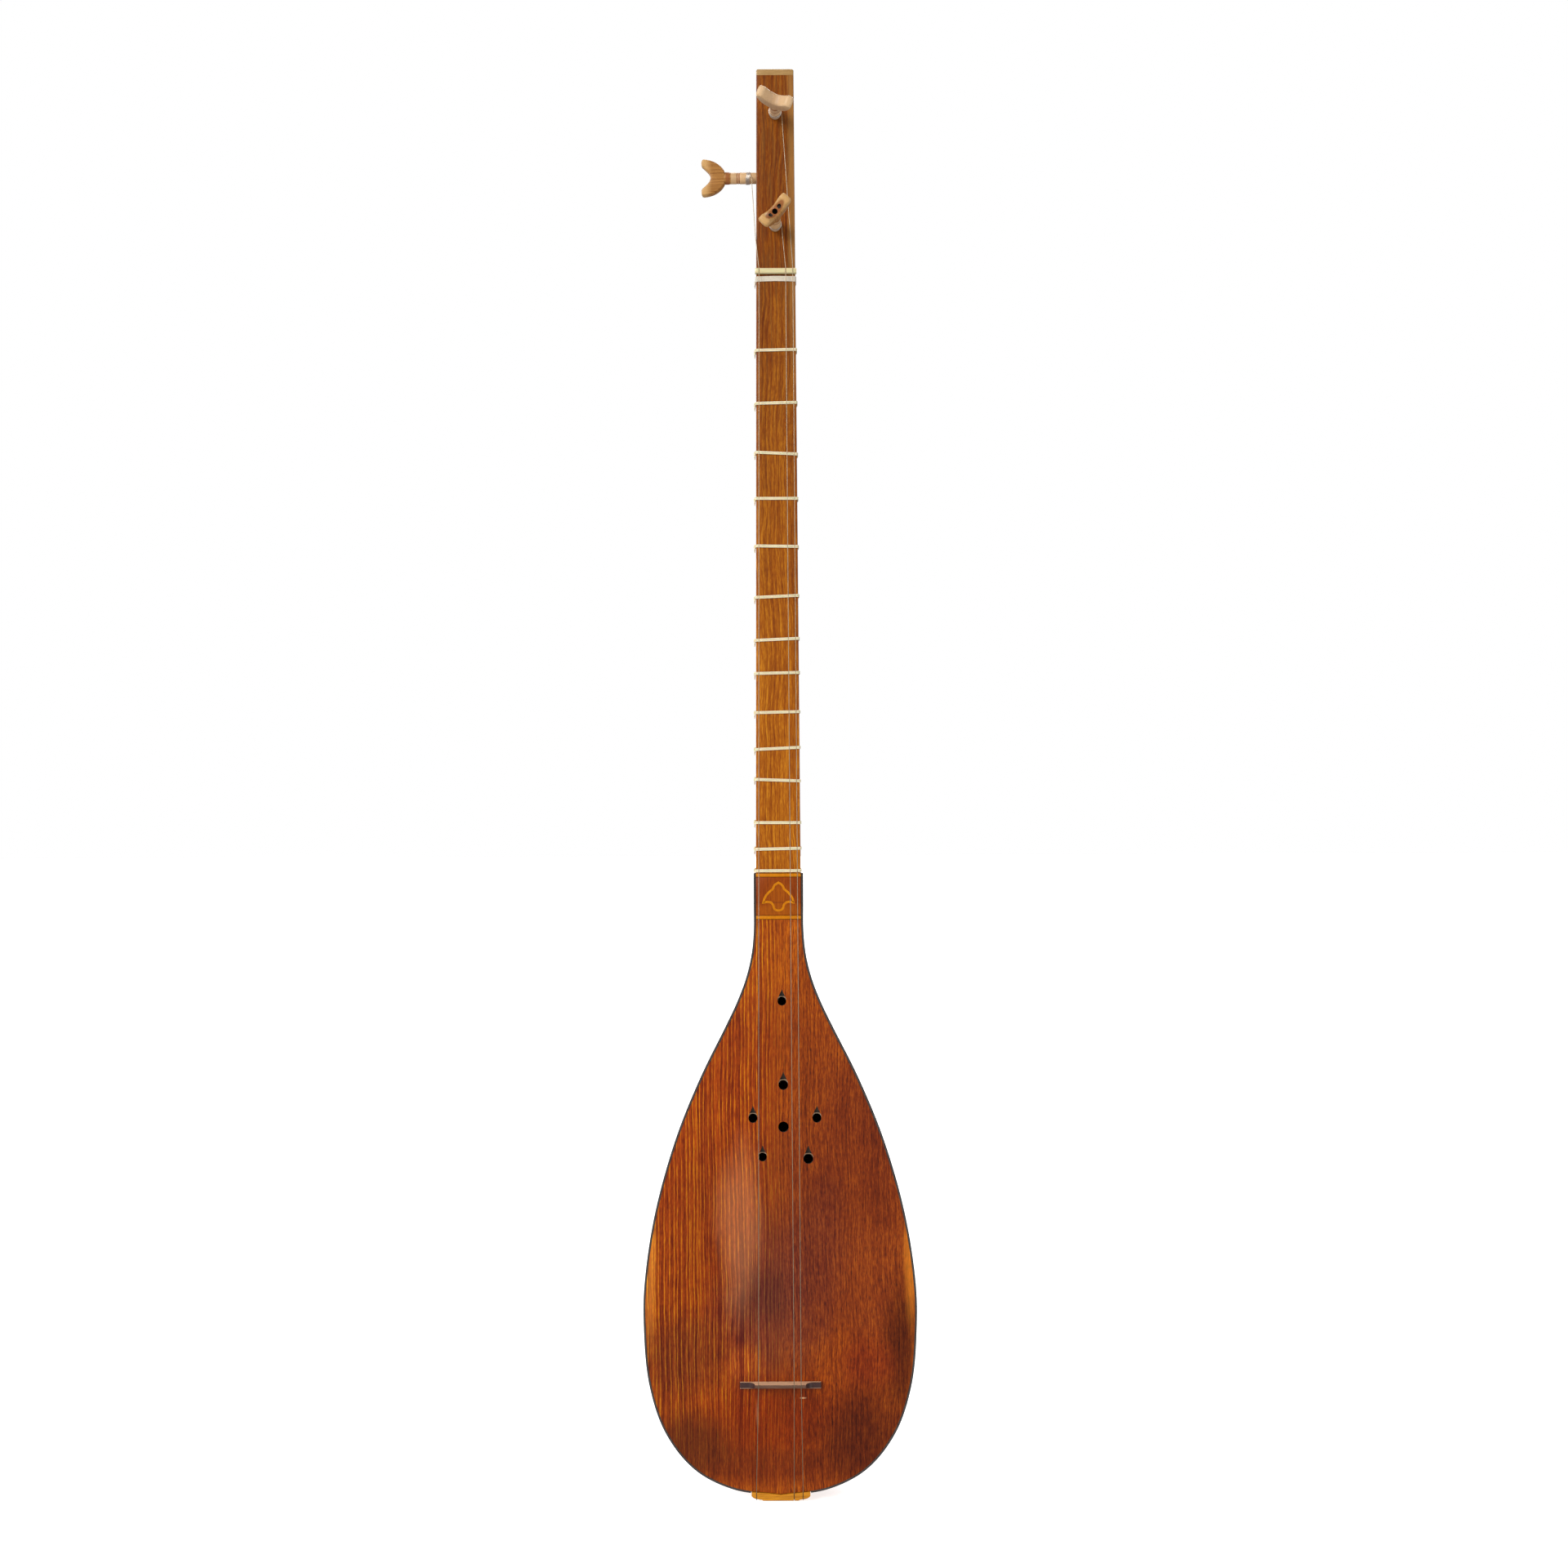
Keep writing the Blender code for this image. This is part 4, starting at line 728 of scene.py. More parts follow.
def box(low, high, edge=0.0):
    """A block, with its edges rounded where edge is given."""
    shape = bmesh.new()
    bmesh.ops.create_cube(shape, size=1.0)
    low, high = np.array(low, float), np.array(high, float)
    for vertex in shape.verts:
        vertex.co = (low + high) / 2 + np.array(vertex.co) * (high - low)
    if edge:
        bmesh.ops.bevel(shape, geom=list(shape.edges), offset=edge, segments=2, affect="EDGES", profile=0.5)
    return shape


def smooth_line(points, steps):
    """Centripetal Catmull-Rom curve through the points, with steps points a span."""
    points = [np.array(point, float) for point in points]
    points = [2 * points[0] - points[1], *points, 2 * points[-1] - points[-2]]
    line = []
    for before, start, end, after in zip(points, points[1:], points[2:], points[3:]):
        knots = [0.0]
        for one, two in ((before, start), (start, end), (end, after)):
            knots.append(knots[-1] + math.sqrt(np.linalg.norm(two - one)))
        for t in np.linspace(knots[1], knots[2], steps, endpoint=False):
            a = [
                (p * (knots[i + 1] - t) + q * (t - knots[i])) / (knots[i + 1] - knots[i])
                for i, (p, q) in enumerate(((before, start), (start, end), (end, after)))
            ]
            b = [
                (a[i] * (knots[i + 2] - t) + a[i + 1] * (t - knots[i])) / (knots[i + 2] - knots[i])
                for i in range(2)
            ]
            line.append((b[0] * (knots[2] - t) + b[1] * (t - knots[1])) / (knots[2] - knots[1]))
    line.append(points[-2])
    return np.array(line)


def circle(sides):
    """Angles of points spaced evenly round a circle."""
    return [2 * math.pi * k / sides for k in range(sides)]


def sweep(points, radius, sides=10):
    """Rings of a round cord along the points. radius is one number or one for each point."""
    points = np.array(points, float)
    radii = np.broadcast_to(radius, len(points))
    tangents = np.gradient(points, axis=0)
    tangents /= np.linalg.norm(tangents, axis=1)[:, None]
    normal = np.cross(tangents[0], (0.31, 0.52, 0.79))
    rings = []
    for point, tangent, size in zip(points, tangents, radii):
        normal = normal - tangent * np.dot(normal, tangent)
        normal /= np.linalg.norm(normal)
        other = np.cross(tangent, normal)
        rings.append([
            point + size * (normal * math.cos(a) + other * math.sin(a)) for a in circle(sides)
        ])
    return rings


def cord_piece(name, paths, radius, made, sides=10):
    """One or more round cords as one piece, whose grain runs along each of them."""
    shape = bmesh.new()
    places = []
    for path in paths:
        rings = sweep(path, radius, sides)
        skin(shape, rings)
        steps = np.linalg.norm(np.diff(np.array(path, float), axis=0), axis=1)
        along = np.concatenate([[0.0], np.cumsum(steps)])
        places += [
            (CORD_GRAIN * math.cos(a), CORD_GRAIN * math.sin(a), CORD_GRAIN * distance)
            for distance in along for a in circle(sides)
        ]
    piece = new_object(name, shape, [made], angle=60)
    set_grain(piece, places)
    return piece


EDGE = smooth_line(OUTLINE, 24)
EDGE_LENGTH = np.concatenate([[0.0], np.cumsum(np.linalg.norm(np.diff(EDGE, axis=0), axis=1))])
EDGE_SLOPE = np.gradient(EDGE, EDGE_LENGTH, axis=0)


def outline_at(length, inset=0.0):
    """Half width and height on the bowl's outline, moved in by inset, and its outward turn."""
    half = np.interp(length, EDGE_LENGTH, EDGE[:, 0])
    height = np.interp(length, EDGE_LENGTH, EDGE[:, 1])
    along = np.array([np.interp(length, EDGE_LENGTH, EDGE_SLOPE[:, k]) for k in (0, 1)])
    along /= np.linalg.norm(along)
    return half + inset * along[1], height - inset * along[0], -along[1]


def length_at_width(half):
    """Outline length from the neck to where the tail end has this half width."""
    widest = int(np.argmax(EDGE[:, 0]))
    return float(np.interp(-half, -EDGE[widest:, 0], EDGE_LENGTH[widest:]))


def length_at_height(height):
    return float(np.interp(-height, -EDGE[:, 1], EDGE_LENGTH))


STAVE_END = length_at_width(STAVE_CUT_WIDTH)
RIM_END = length_at_width(TAILPIECE_HALF + 0.4)


def smoothstep(value):
    value = min(max(value, 0.0), 1.0)
    return value * value * (3 - 2 * value)


def bowl_point(length, angle, inset=0.0):
    """Point on the bowl: angle 0 is the treble edge of the soundboard, 90 degrees the back."""
    half, height, turn = outline_at(length, inset)
    full = outline_at(length)
    deeper = smoothstep((full[1] - RATIO_FROM_Z) / (RATIO_TO_Z - RATIO_FROM_Z))
    ratio = DEPTH_RATIO_BELLY + (DEPTH_RATIO_NECK - DEPTH_RATIO_BELLY) * deeper
    depth = full[0] * ratio - inset * turn
    return np.array([half * math.cos(angle), BOWL_EDGE_Y + depth * math.sin(angle), height])


def staves(made):
    """Nine bent staves with eased edges, so that each glued seam shows as a hairline."""
    steps = 96
    columns = 9
    for number in range(STAVES):
        low_angle = math.pi * number / STAVES
        high_angle = math.pi * (number + 1) / STAVES
        rings, places, from_seam = [], [], []
        for step in range(steps + 1):
            length = STAVE_END * step / steps
            ring = []
            for inset, order in ((0.0, range(columns)), (STAVE_THICK, range(columns - 1, -1, -1))):
                near = bowl_point(length, low_angle, inset)
                far = bowl_point(length, high_angle, inset)
                width = np.linalg.norm(far - near)
                for k in order:
                    share = 0.5 - 0.5 * math.cos(math.pi * k / (columns - 1))
                    eased = SEAM / 2 / width
                    share = eased + (1 - 2 * eased) * share
                    on_edge = k in (0, columns - 1) and inset == 0.0
                    sunk = inset + (0.12 if on_edge else 0.0)
                    angle = low_angle + (high_angle - low_angle) * share
                    ring.append(bowl_point(length, angle, sunk))
                    places.append((width * (share - 0.5) + 60 * number, inset, length))
                    from_seam.append(width * min(share, 1 - share))
            rings.append(ring)
        piece = skinned(f"stave_{number + 1}", rings, [made], angle=50)
        set_grain(piece, places)
        tones = (0.1, 0.6, 0.25, 0.8, 0.05, 0.65, 0.3, 0.6, 0.1)
        set_grain(piece, [tones[number]] * len(places), name="tone")
        set_grain(piece, from_seam, name="from_seam")
        stands_for(piece, f"bowl_stave_{number + 1}")


def crown(x, height, half):
    """How far the soundboard stands proud of its rim."""
    reach = (BOARD_TOP_Z if height > CROWN_Z else -OUTLINE[-1][1] + 2 * CROWN_Z) - CROWN_Z
    along = max(0.0, 1.0 - ((height - CROWN_Z) / reach) ** 2)
    across = max(0.0, 1.0 - (x / half) ** 2)
    return BOARD_CROWN * along * across


def board_front(x, height):
    """y of the soundboard's face at a point."""
    half = outline_at(length_at_height(height), RIM_WIDTH + GAP)[0]
    return FACE_Y - crown(x, height, half)


def soundboard(made, hollow_shade, cut):
    """The crowned plate with its seven holes, each bored, gouged to a point and eased."""
    inset = RIM_WIDTH + SEAM
    columns = 36
    first = length_at_height(BOARD_TOP_Z)
    last = EDGE_LENGTH[-1] - 1.0
    rings = []
    for length in np.linspace(first, last, 110):
        half, height, _ = outline_at(length, inset)
        front = [half * (2 * j / columns - 1) for j in range(columns + 1)]
        ring = [(x, FACE_Y - crown(x, height, half), height) for x in front]
        ring += [(x, y + BOARD_THICK, z) for x, y, z in reversed(ring)]
        rings.append(ring)
    piece = skinned("soundboard_plate", rings, [made, hollow_shade, cut])

    gouge = bmesh.new()
    bevel = bmesh.new()
    bore = bmesh.new()
    turns = circle(40)
    for x, height, radius, carved in SOUND_HOLES:
        face = board_front(x, height)
        skin(bore, [[(x + radius * math.cos(a), y, height + radius * math.sin(a)) for a in turns]
                    for y in (face - 3, face + 8)])
        if not carved:
            continue
        # A slanting cut on the neck side of the hole, wider at the face than inside it.
        skin(bevel, [
            [(x + radius * math.cos(a), y, height + radius * (lift + math.sin(a))) for a in turns]
            for lift, y in ((0.56, face - 1.0), (0.38, face), (0.02, face + 1.4))
        ])
        # The gouge starts from that cut and runs out in a point towards the neck.
        foot = height + radius * 1.2
        tip = height + radius * TIP_AT_RADII
        stations = 12
        rings = []
        for k in range(stations):
            share = k / (stations - 1)
            half = radius * 0.68 * (1 - share) ** 1.25 + 0.16
            deep = TIP_DEPTH * 0.6 * (1 - share) + 0.05
            z = foot + (tip - foot) * share
            arc = [math.pi * j / 8 for j in range(9)]
            under = [(x - half * math.cos(a), face + deep * math.sin(a), z) for a in arc]
            rings.append(under + [(x + half, face - 1.0, z), (x - half, face - 1.0, z)])
        skin(gouge, rings)
    # Painted shade: the bores and gouges take the nearly black wood. Painted highlight: the slanting cuts
    # take the pale wood.
    for shape, colour in ((bevel, cut), (gouge, hollow_shade), (bore, hollow_shade)):
        combine(piece, shape, colour, angle=40)
    stands_for(piece, "soundboard")


def rim_halves(made):
    for name, side in (("rim_treble", 1), ("rim_bass", -1)):
        rings = []
        for length in np.linspace(0.0, RIM_END, 150):
            out, high, _ = outline_at(length, 0.02)
            inner, low, _ = outline_at(length, RIM_WIDTH)
            back = FACE_Y + BOARD_THICK
            ease = 0.25
            share = ease / RIM_WIDTH
            part_x, part_z = out + (inner - out) * share, high + (low - high) * share
            rings.append([
                (side * out, FACE_Y + ease, high), (side * part_x, FACE_Y, part_z),
                (side * inner, FACE_Y, low), (side * inner, back, low), (side * out, back, high),
            ])
        piece = skinned(name + "_binding", rings, [made])
        stands_for(piece, name)


def mirrored(half_line):
    """Close a half outline that starts and ends on the middle line."""
    return list(half_line) + [(-x, z) for x, z in reversed(half_line[1:-1])]


def offset_outline(outline, distance):
    """Move a closed outline outward, or inward where distance is negative."""
    points = np.array(outline)
    before = np.roll(points, 1, axis=0)
    after = np.roll(points, -1, axis=0)
    moved = []
    for previous, point, following in zip(before, points, after):
        one = (point - previous) / np.linalg.norm(point - previous)
        two = (following - point) / np.linalg.norm(following - point)
        normal = np.array([one[1] + two[1], -one[0] - two[0]])
        normal /= np.linalg.norm(normal)
        spread = max(0.5, float(np.dot(normal, (one[1], -one[0]))))
        moved.append(point - normal * distance / spread)
    return moved


def palmette_band(inner, outer, front_y, back_y):
    """Closed band that follows the palmette outline."""
    half_line = []
    for corner_points in PALMETTE_CORNERS:
        half_line += [tuple(point) for point in smooth_line(corner_points, 5)[:-1]]
    half_line.append(PALMETTE_CORNERS[-1][-1])
    middle = mirrored(half_line)
    inside = offset_outline(middle, inner)
    outside = offset_outline(middle, outer)
    shape = bmesh.new()
    rings = []
    for (xi, zi), (xo, zo) in zip(inside, outside):
        rings.append([(xi, front_y, zi), (xo, front_y, zo), (xo, back_y, zo), (xi, back_y, zi)])
    skin(shape, rings, closed=True)
    return shape


def joint_panel(wood, gold):
    low, high = PANEL
    shape = box((-PANEL_HALF, FACE_Y, low), (PANEL_HALF, FACE_Y + BOARD_THICK, high), edge=0.12)
    panel = new_object("panel_plate", shape, [wood])
    reach = INLAY_WIDTH / 2
    groove = palmette_band(-reach - SEAM, reach + SEAM, FACE_Y - 1, FACE_Y + INLAY_THICK + SEAM)
    combine(panel, groove, wood, crossing=True)
    stands_for(panel, "joint_panel")
    band = palmette_band(-reach, reach, FACE_Y, FACE_Y + INLAY_THICK)
    inlay = new_object("palmette_inlay", band, [gold])
    stands_for(inlay, "panel_inlay")
    for name, (start, end) in (("inlay_strip_upper", UPPER_STRIP), ("inlay_strip_lower", LOWER_STRIP)):
        shape = box((-PANEL_HALF, FACE_Y, start), (PANEL_HALF, FACE_Y + BOARD_THICK, end), edge=0.1)
        strip = new_object(name + "_band", shape, [gold])
        stands_for(strip, name)


def neck_half(height):
    part = (height - NECK_END_Z) / (NECK_TOP_Z - NECK_END_Z)
    return NECK_HALF_AT_END + (NECK_HALF_AT_TOP - NECK_HALF_AT_END) * part


def neck_section(height, grow=0.0, corner_steps=4, arc_steps=16):
    """Closed section of the neck, from the middle of its face round the treble side, as (x, y)."""
    head = smoothstep((height - HEAD_TAPER_Z) / (HEAD_FROM_Z - HEAD_TAPER_Z))
    lower = min(max((HEAD_FROM_Z - height) / (HEAD_FROM_Z - NECK_END_Z), 0.0), 1.0)
    half = neck_half(height)
    flat = 0.8 + (HEAD_FLAT_HALF - 0.8) * head
    back = NECK_BACK_AT_END * lower + grow
    side_y = FACE_Y + SIDE_DEPTH
    right = [(half * 0.5, FACE_Y - grow)]
    for k in range(corner_steps + 1):
        angle = math.pi / 2 * (k / corner_steps - 1)
        size = NECK_EDGE + grow
        right.append((half - NECK_EDGE + size * math.cos(angle), FACE_Y + NECK_EDGE + size * math.sin(angle)))
    for k in range(arc_steps + 1):
        angle = math.pi / 2 * k / arc_steps
        x = flat + (half + grow - flat) * math.cos(angle)
        right.append((x, side_y + (back - side_y) * math.sin(angle)))
    left = [(-x, y) for x, y in reversed(right)]
    return [(0.0, FACE_Y - grow)] + right + left


def neck(made):
    """The long neck and head, bored for its pegs and cut across for the nut."""
    heights = [*np.linspace(NECK_END_Z, HEAD_TAPER_Z, 24), 765, 770, 775, 780, 785, 790, 795, 800,
               *np.linspace(HEAD_FROM_Z, NECK_TOP_Z, 8)]
    rings = [[(x, y, height) for x, y in neck_section(height)] for height in heights]
    piece = skinned("neck_and_head", rings, [made], angle=40)
    half_slot = NUT_THICK / 2 + SEAM
    seat = box((-20, FACE_Y - 5, NUT_Z - half_slot), (20, FACE_Y + NUT_SEAT + SEAM, NUT_Z + half_slot))
    combine(piece, seat, made, angle=40)
    bores = bmesh.new()
    for name, point, direction, _, _ in peg_places():
        deep = SIDE_BORE_DEPTH if name == "peg_side" else FRONT_BORE_DEPTH
        skin(bores, turned(point, direction, [(PEG_BORE_RADIUS, -deep), (PEG_BORE_RADIUS, 3.0)], 40))
    combine(piece, bores, made, angle=40)
    stands_for(piece, "neck")


def head_cap(made):
    """Pale cap on the end of the head, its corners and edges rounded over."""
    low = NECK_TOP_Z + SEAM
    high = NECK_TOP_Z + GAP + CAP_THICK
    rings = [[(x, y, low) for x, y in neck_section(NECK_TOP_Z)]]
    middle_y = FACE_Y / 2
    for k in range(7):
        angle = math.pi / 2 * k / 6
        inset = CAP_EDGE * (1 - math.cos(angle))
        height = high - CAP_EDGE + CAP_EDGE * math.sin(angle)
        ring = []
        for x, y in neck_section(NECK_TOP_Z):
            step_x = math.copysign(min(inset, abs(x)), x)
            ring.append((x - step_x, y - math.copysign(inset, y - middle_y), height))
        rings.append(ring)
    piece = skinned("head_end_cap", rings, [made], angle=50)
    stands_for(piece, "head_cap")


def nut(made):
    """Bone nut, its top filed round, with a fine notch for each string."""
    low, high = NUT_Z - NUT_THICK / 2, NUT_Z + NUT_THICK / 2
    top = FACE_Y - NUT_TOP
    arc = 0.9
    profile = [(FACE_Y + NUT_SEAT, low), (FACE_Y + NUT_SEAT, high)]
    for middle, start in ((high - arc, 0), (low + arc, 90)):
        for k in range(6):
            angle = math.radians(start + 90 * k / 5)
            profile.append((top + arc - arc * math.sin(angle), middle + arc * math.cos(angle)))
    rings = []
    ease = 0.35
    middle_y = (FACE_Y + NUT_SEAT + top) / 2
    for x, share in ((-NUT_HALF, 0.9), (-NUT_HALF + ease, 1.0), (NUT_HALF - ease, 1.0), (NUT_HALF, 0.9)):
        rings.append([(x, middle_y + (y - middle_y) * share, NUT_Z + (z - NUT_Z) * share)
                      for y, z in profile])
    piece = skinned("bone_nut", rings, [made], angle=50)
    notches = bmesh.new()
    rest = FACE_Y - STRING_AT_NUT
    for x, _, _ in STRING_X:
        skin(notches, sweep([(x, rest, low - 2), (x, rest, high + 2)], STRING_RADIUS + 0.06, 16))
        sides = [(x - 0.28, rest - 2), (x + 0.28, rest - 2), (x + 0.28, rest), (x - 0.28, rest)]
        skin(notches, [[(a, b, z) for a, b in sides] for z in (low - 1.5, high + 1.5)])
    combine(piece, notches, made, angle=40, crossing=True)
    stands_for(piece, "nut")


def wound(height, diameter, pitch, turns, tilt=0.0, bow=0.0, clear=0.03):
    """Path of a cord wound round the neck from its bass side, upward, and the section's points."""
    section = neck_section(height, grow=diameter / 2 + clear, corner_steps=3, arc_steps=12)
    count = len(section)
    start = count - KNOT_FROM_END
    low = height - pitch * turns / 2
    half = neck_half(height)
    path = []
    for k in range(count * turns + 1):
        x, y = section[(start + k) % count]
        rise = bow * (1 - (x / half) ** 2) - tilt * x / (2 * half)
        path.append((x, y, low + pitch * k / count + rise))
    return path


def knot(foot, radius, outward, spread):
    """Path of a small overhand knot at the bass side: it wraps the band twice and leaves two ends."""
    foot = np.array(foot, float)
    outward = np.array(outward, float)
    outward /= np.linalg.norm(outward)
    up = np.array([0.0, 0.0, 1.0])
    aside = np.cross(up, outward)
    loops = []
    for k in range(37):
        angle = 2 * math.pi * 1.75 * k / 36 - math.pi / 2
        out = 0.25 + radius * 2.1 * (0.5 + 0.5 * math.cos(angle))
        loops.append(foot + outward * out + up * spread * math.sin(angle)
                     + aside * (k / 36 - 0.5) * radius * 3.6)
    tail = loops[-1]
    down = [tail + aside * radius * 0.7 * k + outward * 0.12 * k - up * 0.85 * k for k in (1, 2, 3)]
    first = loops[0]
    other = [first - aside * radius * 0.9 * k + outward * 0.1 * k - up * 0.7 * k for k in (3, 2, 1)]
    return smooth_line([*other, *loops[::3], *down], 3)


def frets(made):
    """Fourteen tied frets: three turns of gut side by side, pulled up in a knot on the bass side."""
    pitch = GUT_DIAMETER * 1.02
    for number, (height, tilt) in enumerate(FRETS, start=1):
        # Clear enough of the neck to slide 4 mm towards the bowl, where it is wider.
        band = wound(height, GUT_DIAMETER, pitch, GUT_TURNS, tilt=tilt, clear=0.1)
        half = neck_half(height)
        foot = (-half - GUT_DIAMETER / 2, FACE_Y + SIDE_DEPTH, height - 0.2 + tilt / 2)
        tie = knot(foot, GUT_DIAMETER / 2, (-1, 0.15, 0), pitch * GUT_TURNS / 2 + 0.35)
        piece = cord_piece(f"gut_fret_{number:02d}", [band, tie], GUT_DIAMETER / 2, made)
        stands_for(piece, f"fret_{number:02d}")


def nut_thread(made):
    """White thread wound six times round the neck under the nut, and knotted."""
    band = wound(BAND_Z, THREAD_DIAMETER, THREAD_DIAMETER, THREAD_TURNS, bow=0.35)
    foot = (-neck_half(BAND_Z) - THREAD_DIAMETER / 2, FACE_Y + SIDE_DEPTH, BAND_Z - 0.9)
    tie = knot(foot, THREAD_DIAMETER / 2, (-1, 0.2, 0), 1.1)
    piece = cord_piece("thread_band", [band, tie], THREAD_DIAMETER / 2, made)
    stands_for(piece, "nut_thread")


def peg_places():
    """Name, point on the neck, direction out of it, reach and head roll of each peg."""
    side = (-neck_half(SIDE_PEG_Z), SIDE_PEG_Y, SIDE_PEG_Z)
    lower = (LOWER_PEG_X, FACE_Y, LOWER_PEG_Z)
    return [
        ("peg_side", side, (-1, 0, 0), PEG_REACH, math.radians(88)),
        ("peg_front_lower", lower, (0, -1, 0), LOWER_PEG_REACH, math.radians(46)),
        ("peg_front_upper", (0.0, FACE_Y, UPPER_PEG_Z), (0, -1, 0), PEG_REACH, math.radians(-21)),
    ]


def peg_frame(direction):
    """Unit vectors along the peg and across it, the second one level and the third one upright."""
    along = np.array(direction, float)
    up = np.array([0.0, 0.0, 1.0])
    return along, np.cross(up, along), up


def turned(point, direction, profile, sides):
    """Rings of a turned shape, from (radius, distance out of the neck) pairs."""
    along, across, up = peg_frame(direction)
    point = np.array(point, float)
    return [
        [point + along * out + (across * math.cos(a) + up * math.sin(a)) * radius for a in circle(sides)]
        for radius, out in profile
    ]


def peg_head_rings(base, wide, thick, along):
    """The fishtail plate, its edges rounded over: sections from one flat side to the other."""
    inner = [tuple(point) for point in smooth_line(PEG_NOTCH + PEG_TIP, 3)]
    outer = []
    for k in range(25):
        angle = math.pi / 2 * k / 24
        outer.append((PEG_HEAD_HALF * math.cos(angle), PEG_HEAD_LENGTH * math.sin(angle)))
    outline = mirrored(inner + [(11.5, -0.1)] + outer[1:])
    half = PEG_HEAD_THICK / 2
    rings = []
    for k in range(-6, 7):
        angle = math.pi / 2 * k / 6
        inset = PEG_HEAD_EASE * (1 - math.cos(angle))
        lift = math.copysign(half - 2.2 + 2.2 * abs(math.sin(angle)), k) if k else 0.0
        rings.append([
            base + wide * x - along * out + thick * lift
            for x, out in offset_outline(outline, inset)
        ])
    return rings


def pegs(plain, burnt, worn, hollow_shade):
    """Friction pegs: turned shaft with burnt rings, collar, and a carved fishtail to turn it by."""
    for name, point, direction, reach, roll in peg_places():
        made = {"peg_front_lower": burnt, "peg_front_upper": worn}.get(name, plain)
        along, across, up = peg_frame(direction)
        profile = [(PEG_FOOT_RADIUS - 0.3, -PEG_FOOT_DEPTH), (PEG_FOOT_RADIUS, 0.4 - PEG_FOOT_DEPTH),
                   (PEG_RADIUS - 0.1, -0.5), (PEG_RADIUS, reach - 10.6)]
        for ring in reversed(PEG_RINGS):
            profile += [(PEG_RADIUS - sunk, reach - ring + out) for sunk, out in
                        ((0.0, -0.42), (0.22, -0.2), (0.3, 0.0), (0.22, 0.2), (0.0, 0.42))]
        # The collar under the head, and the neck that runs into it.
        profile += [(PEG_RADIUS + proud, reach + out) for proud, out in
                    ((0.0, -2.9), (0.16, -2.5), (0.25, -1.9), (0.25, -0.2), (0.1, 0.5), (-0.3, 1.4),
                     (-0.9, 2.6))] + [(1.6, reach + 5.0)]
        piece = skinned(name + "_carved", turned(point, direction, profile, 40), [made], angle=50)
        wide = across * math.cos(roll) + up * math.sin(roll)
        thick = np.cross(along, wide)
        base = np.array(point, float) + along * (reach - PEG_HEAD_SUNK + PEG_HEAD_LENGTH)
        head = bmesh.new()
        skin(head, peg_head_rings(base, wide, thick, along))
        combine(piece, head, made, "UNION", angle=50)
        if name == "peg_front_lower":
            # The three holes in the head take the nearly black painted shade.
            dots = bmesh.new()
            for x, size, floor in ((-3.8, 1.35, 4.2), (0.0, 1.8, 9.0), (3.8, 1.35, 4.2)):
                start = base + wide * x
                path = [start + along * 2.0, start - along * floor]
                skin(dots, sweep(path, size, 20))
            combine(piece, dots, hollow_shade, angle=50)
        places = []
        for vertex in piece.data.vertices:
            local = np.array(vertex.co) / MM + (0, 0, HANGER_Z) - base
            places.append((local @ wide, local @ thick, -(local @ along)))
        set_grain(piece, places)
        stands_for(piece, name)


def windings(made):
    """The string's turns on each peg, laid close."""
    steps = 32
    for number, (name, point, direction, _, _) in enumerate(peg_places(), start=1):
        along, across, up = peg_frame(direction)
        radius = PEG_RADIUS + STRING_RADIUS + 0.06
        leaves = SIDE_STRING_OUT if name == "peg_side" else FRONT_STRING_OUT
        first = leaves + 2 * STRING_RADIUS + 0.45
        path = []
        for k in range(WINDING_TURNS * steps + 1):
            angle = 2 * math.pi * k / steps
            out = first + WINDING_LENGTH * k / (WINDING_TURNS * steps)
            path.append(np.array(point, float) + along * out
                        + (across * math.cos(angle) + up * math.sin(angle)) * radius)
        piece = cord_piece(f"wire_turns_{number}", [path], STRING_RADIUS, made)
        stands_for(piece, f"string_{number}_winding")


def strings(made):
    """Three steel strings from peg to tailpiece, over nut and bridge."""
    above_nut = FACE_Y - STRING_AT_NUT
    clear = PEG_RADIUS + GAP + STRING_RADIUS
    side_x, side_y, _ = peg_places()[0][1]
    front_y = FACE_Y - FRONT_STRING_OUT
    lower_x = LOWER_PEG_X + clear
    starts = [
        [(side_x - SIDE_STRING_OUT, side_y - clear, SIDE_PEG_Z),
         (side_x - SIDE_STRING_OUT + 0.1, side_y - clear - 0.25, SIDE_PEG_Z - 2.0),
         (-12.95, FACE_Y - 0.5, 812.0)],
        [(lower_x, front_y, LOWER_PEG_Z), (lower_x + 0.15, front_y, LOWER_PEG_Z - 2.0)],
        [(clear, front_y, UPPER_PEG_Z), (clear + 0.13, front_y, UPPER_PEG_Z - 2.0)],
    ]
    base = board_front(0.0, BRIDGE_Z) - GAP
    over_bridge = base - BRIDGE_HEIGHT + BRIDGE_NOTCH - GAP - STRING_RADIUS
    lip = FACE_Y - TAILPIECE_PROUD + TAIL_GROOVE - GAP - STRING_RADIUS
    under = TAIL_GROOVE - GAP - STRING_RADIUS
    for number, start in enumerate(starts):
        at_nut, at_bridge, at_tail = STRING_X[number]
        path = [
            *start,
            (at_nut, above_nut, NUT_Z + 1.4), (at_nut, above_nut - 0.02, NUT_Z - 1.4),
            (at_bridge, over_bridge, BRIDGE_Z + 3.0), (at_bridge, over_bridge, BRIDGE_Z - 0.4),
            (at_tail, lip - 0.25, 8.0), (at_tail, lip, 6.2), (at_tail, lip, under + 0.6),
            (at_tail, lip + 0.18, under + 0.18), (at_tail, lip + 0.6, under), (at_tail, lip + 7.0, under),
        ]
        piece = cord_piece(f"steel_string_{number + 1}", [path], STRING_RADIUS, made, sides=12)
        stands_for(piece, f"string_{number + 1}")


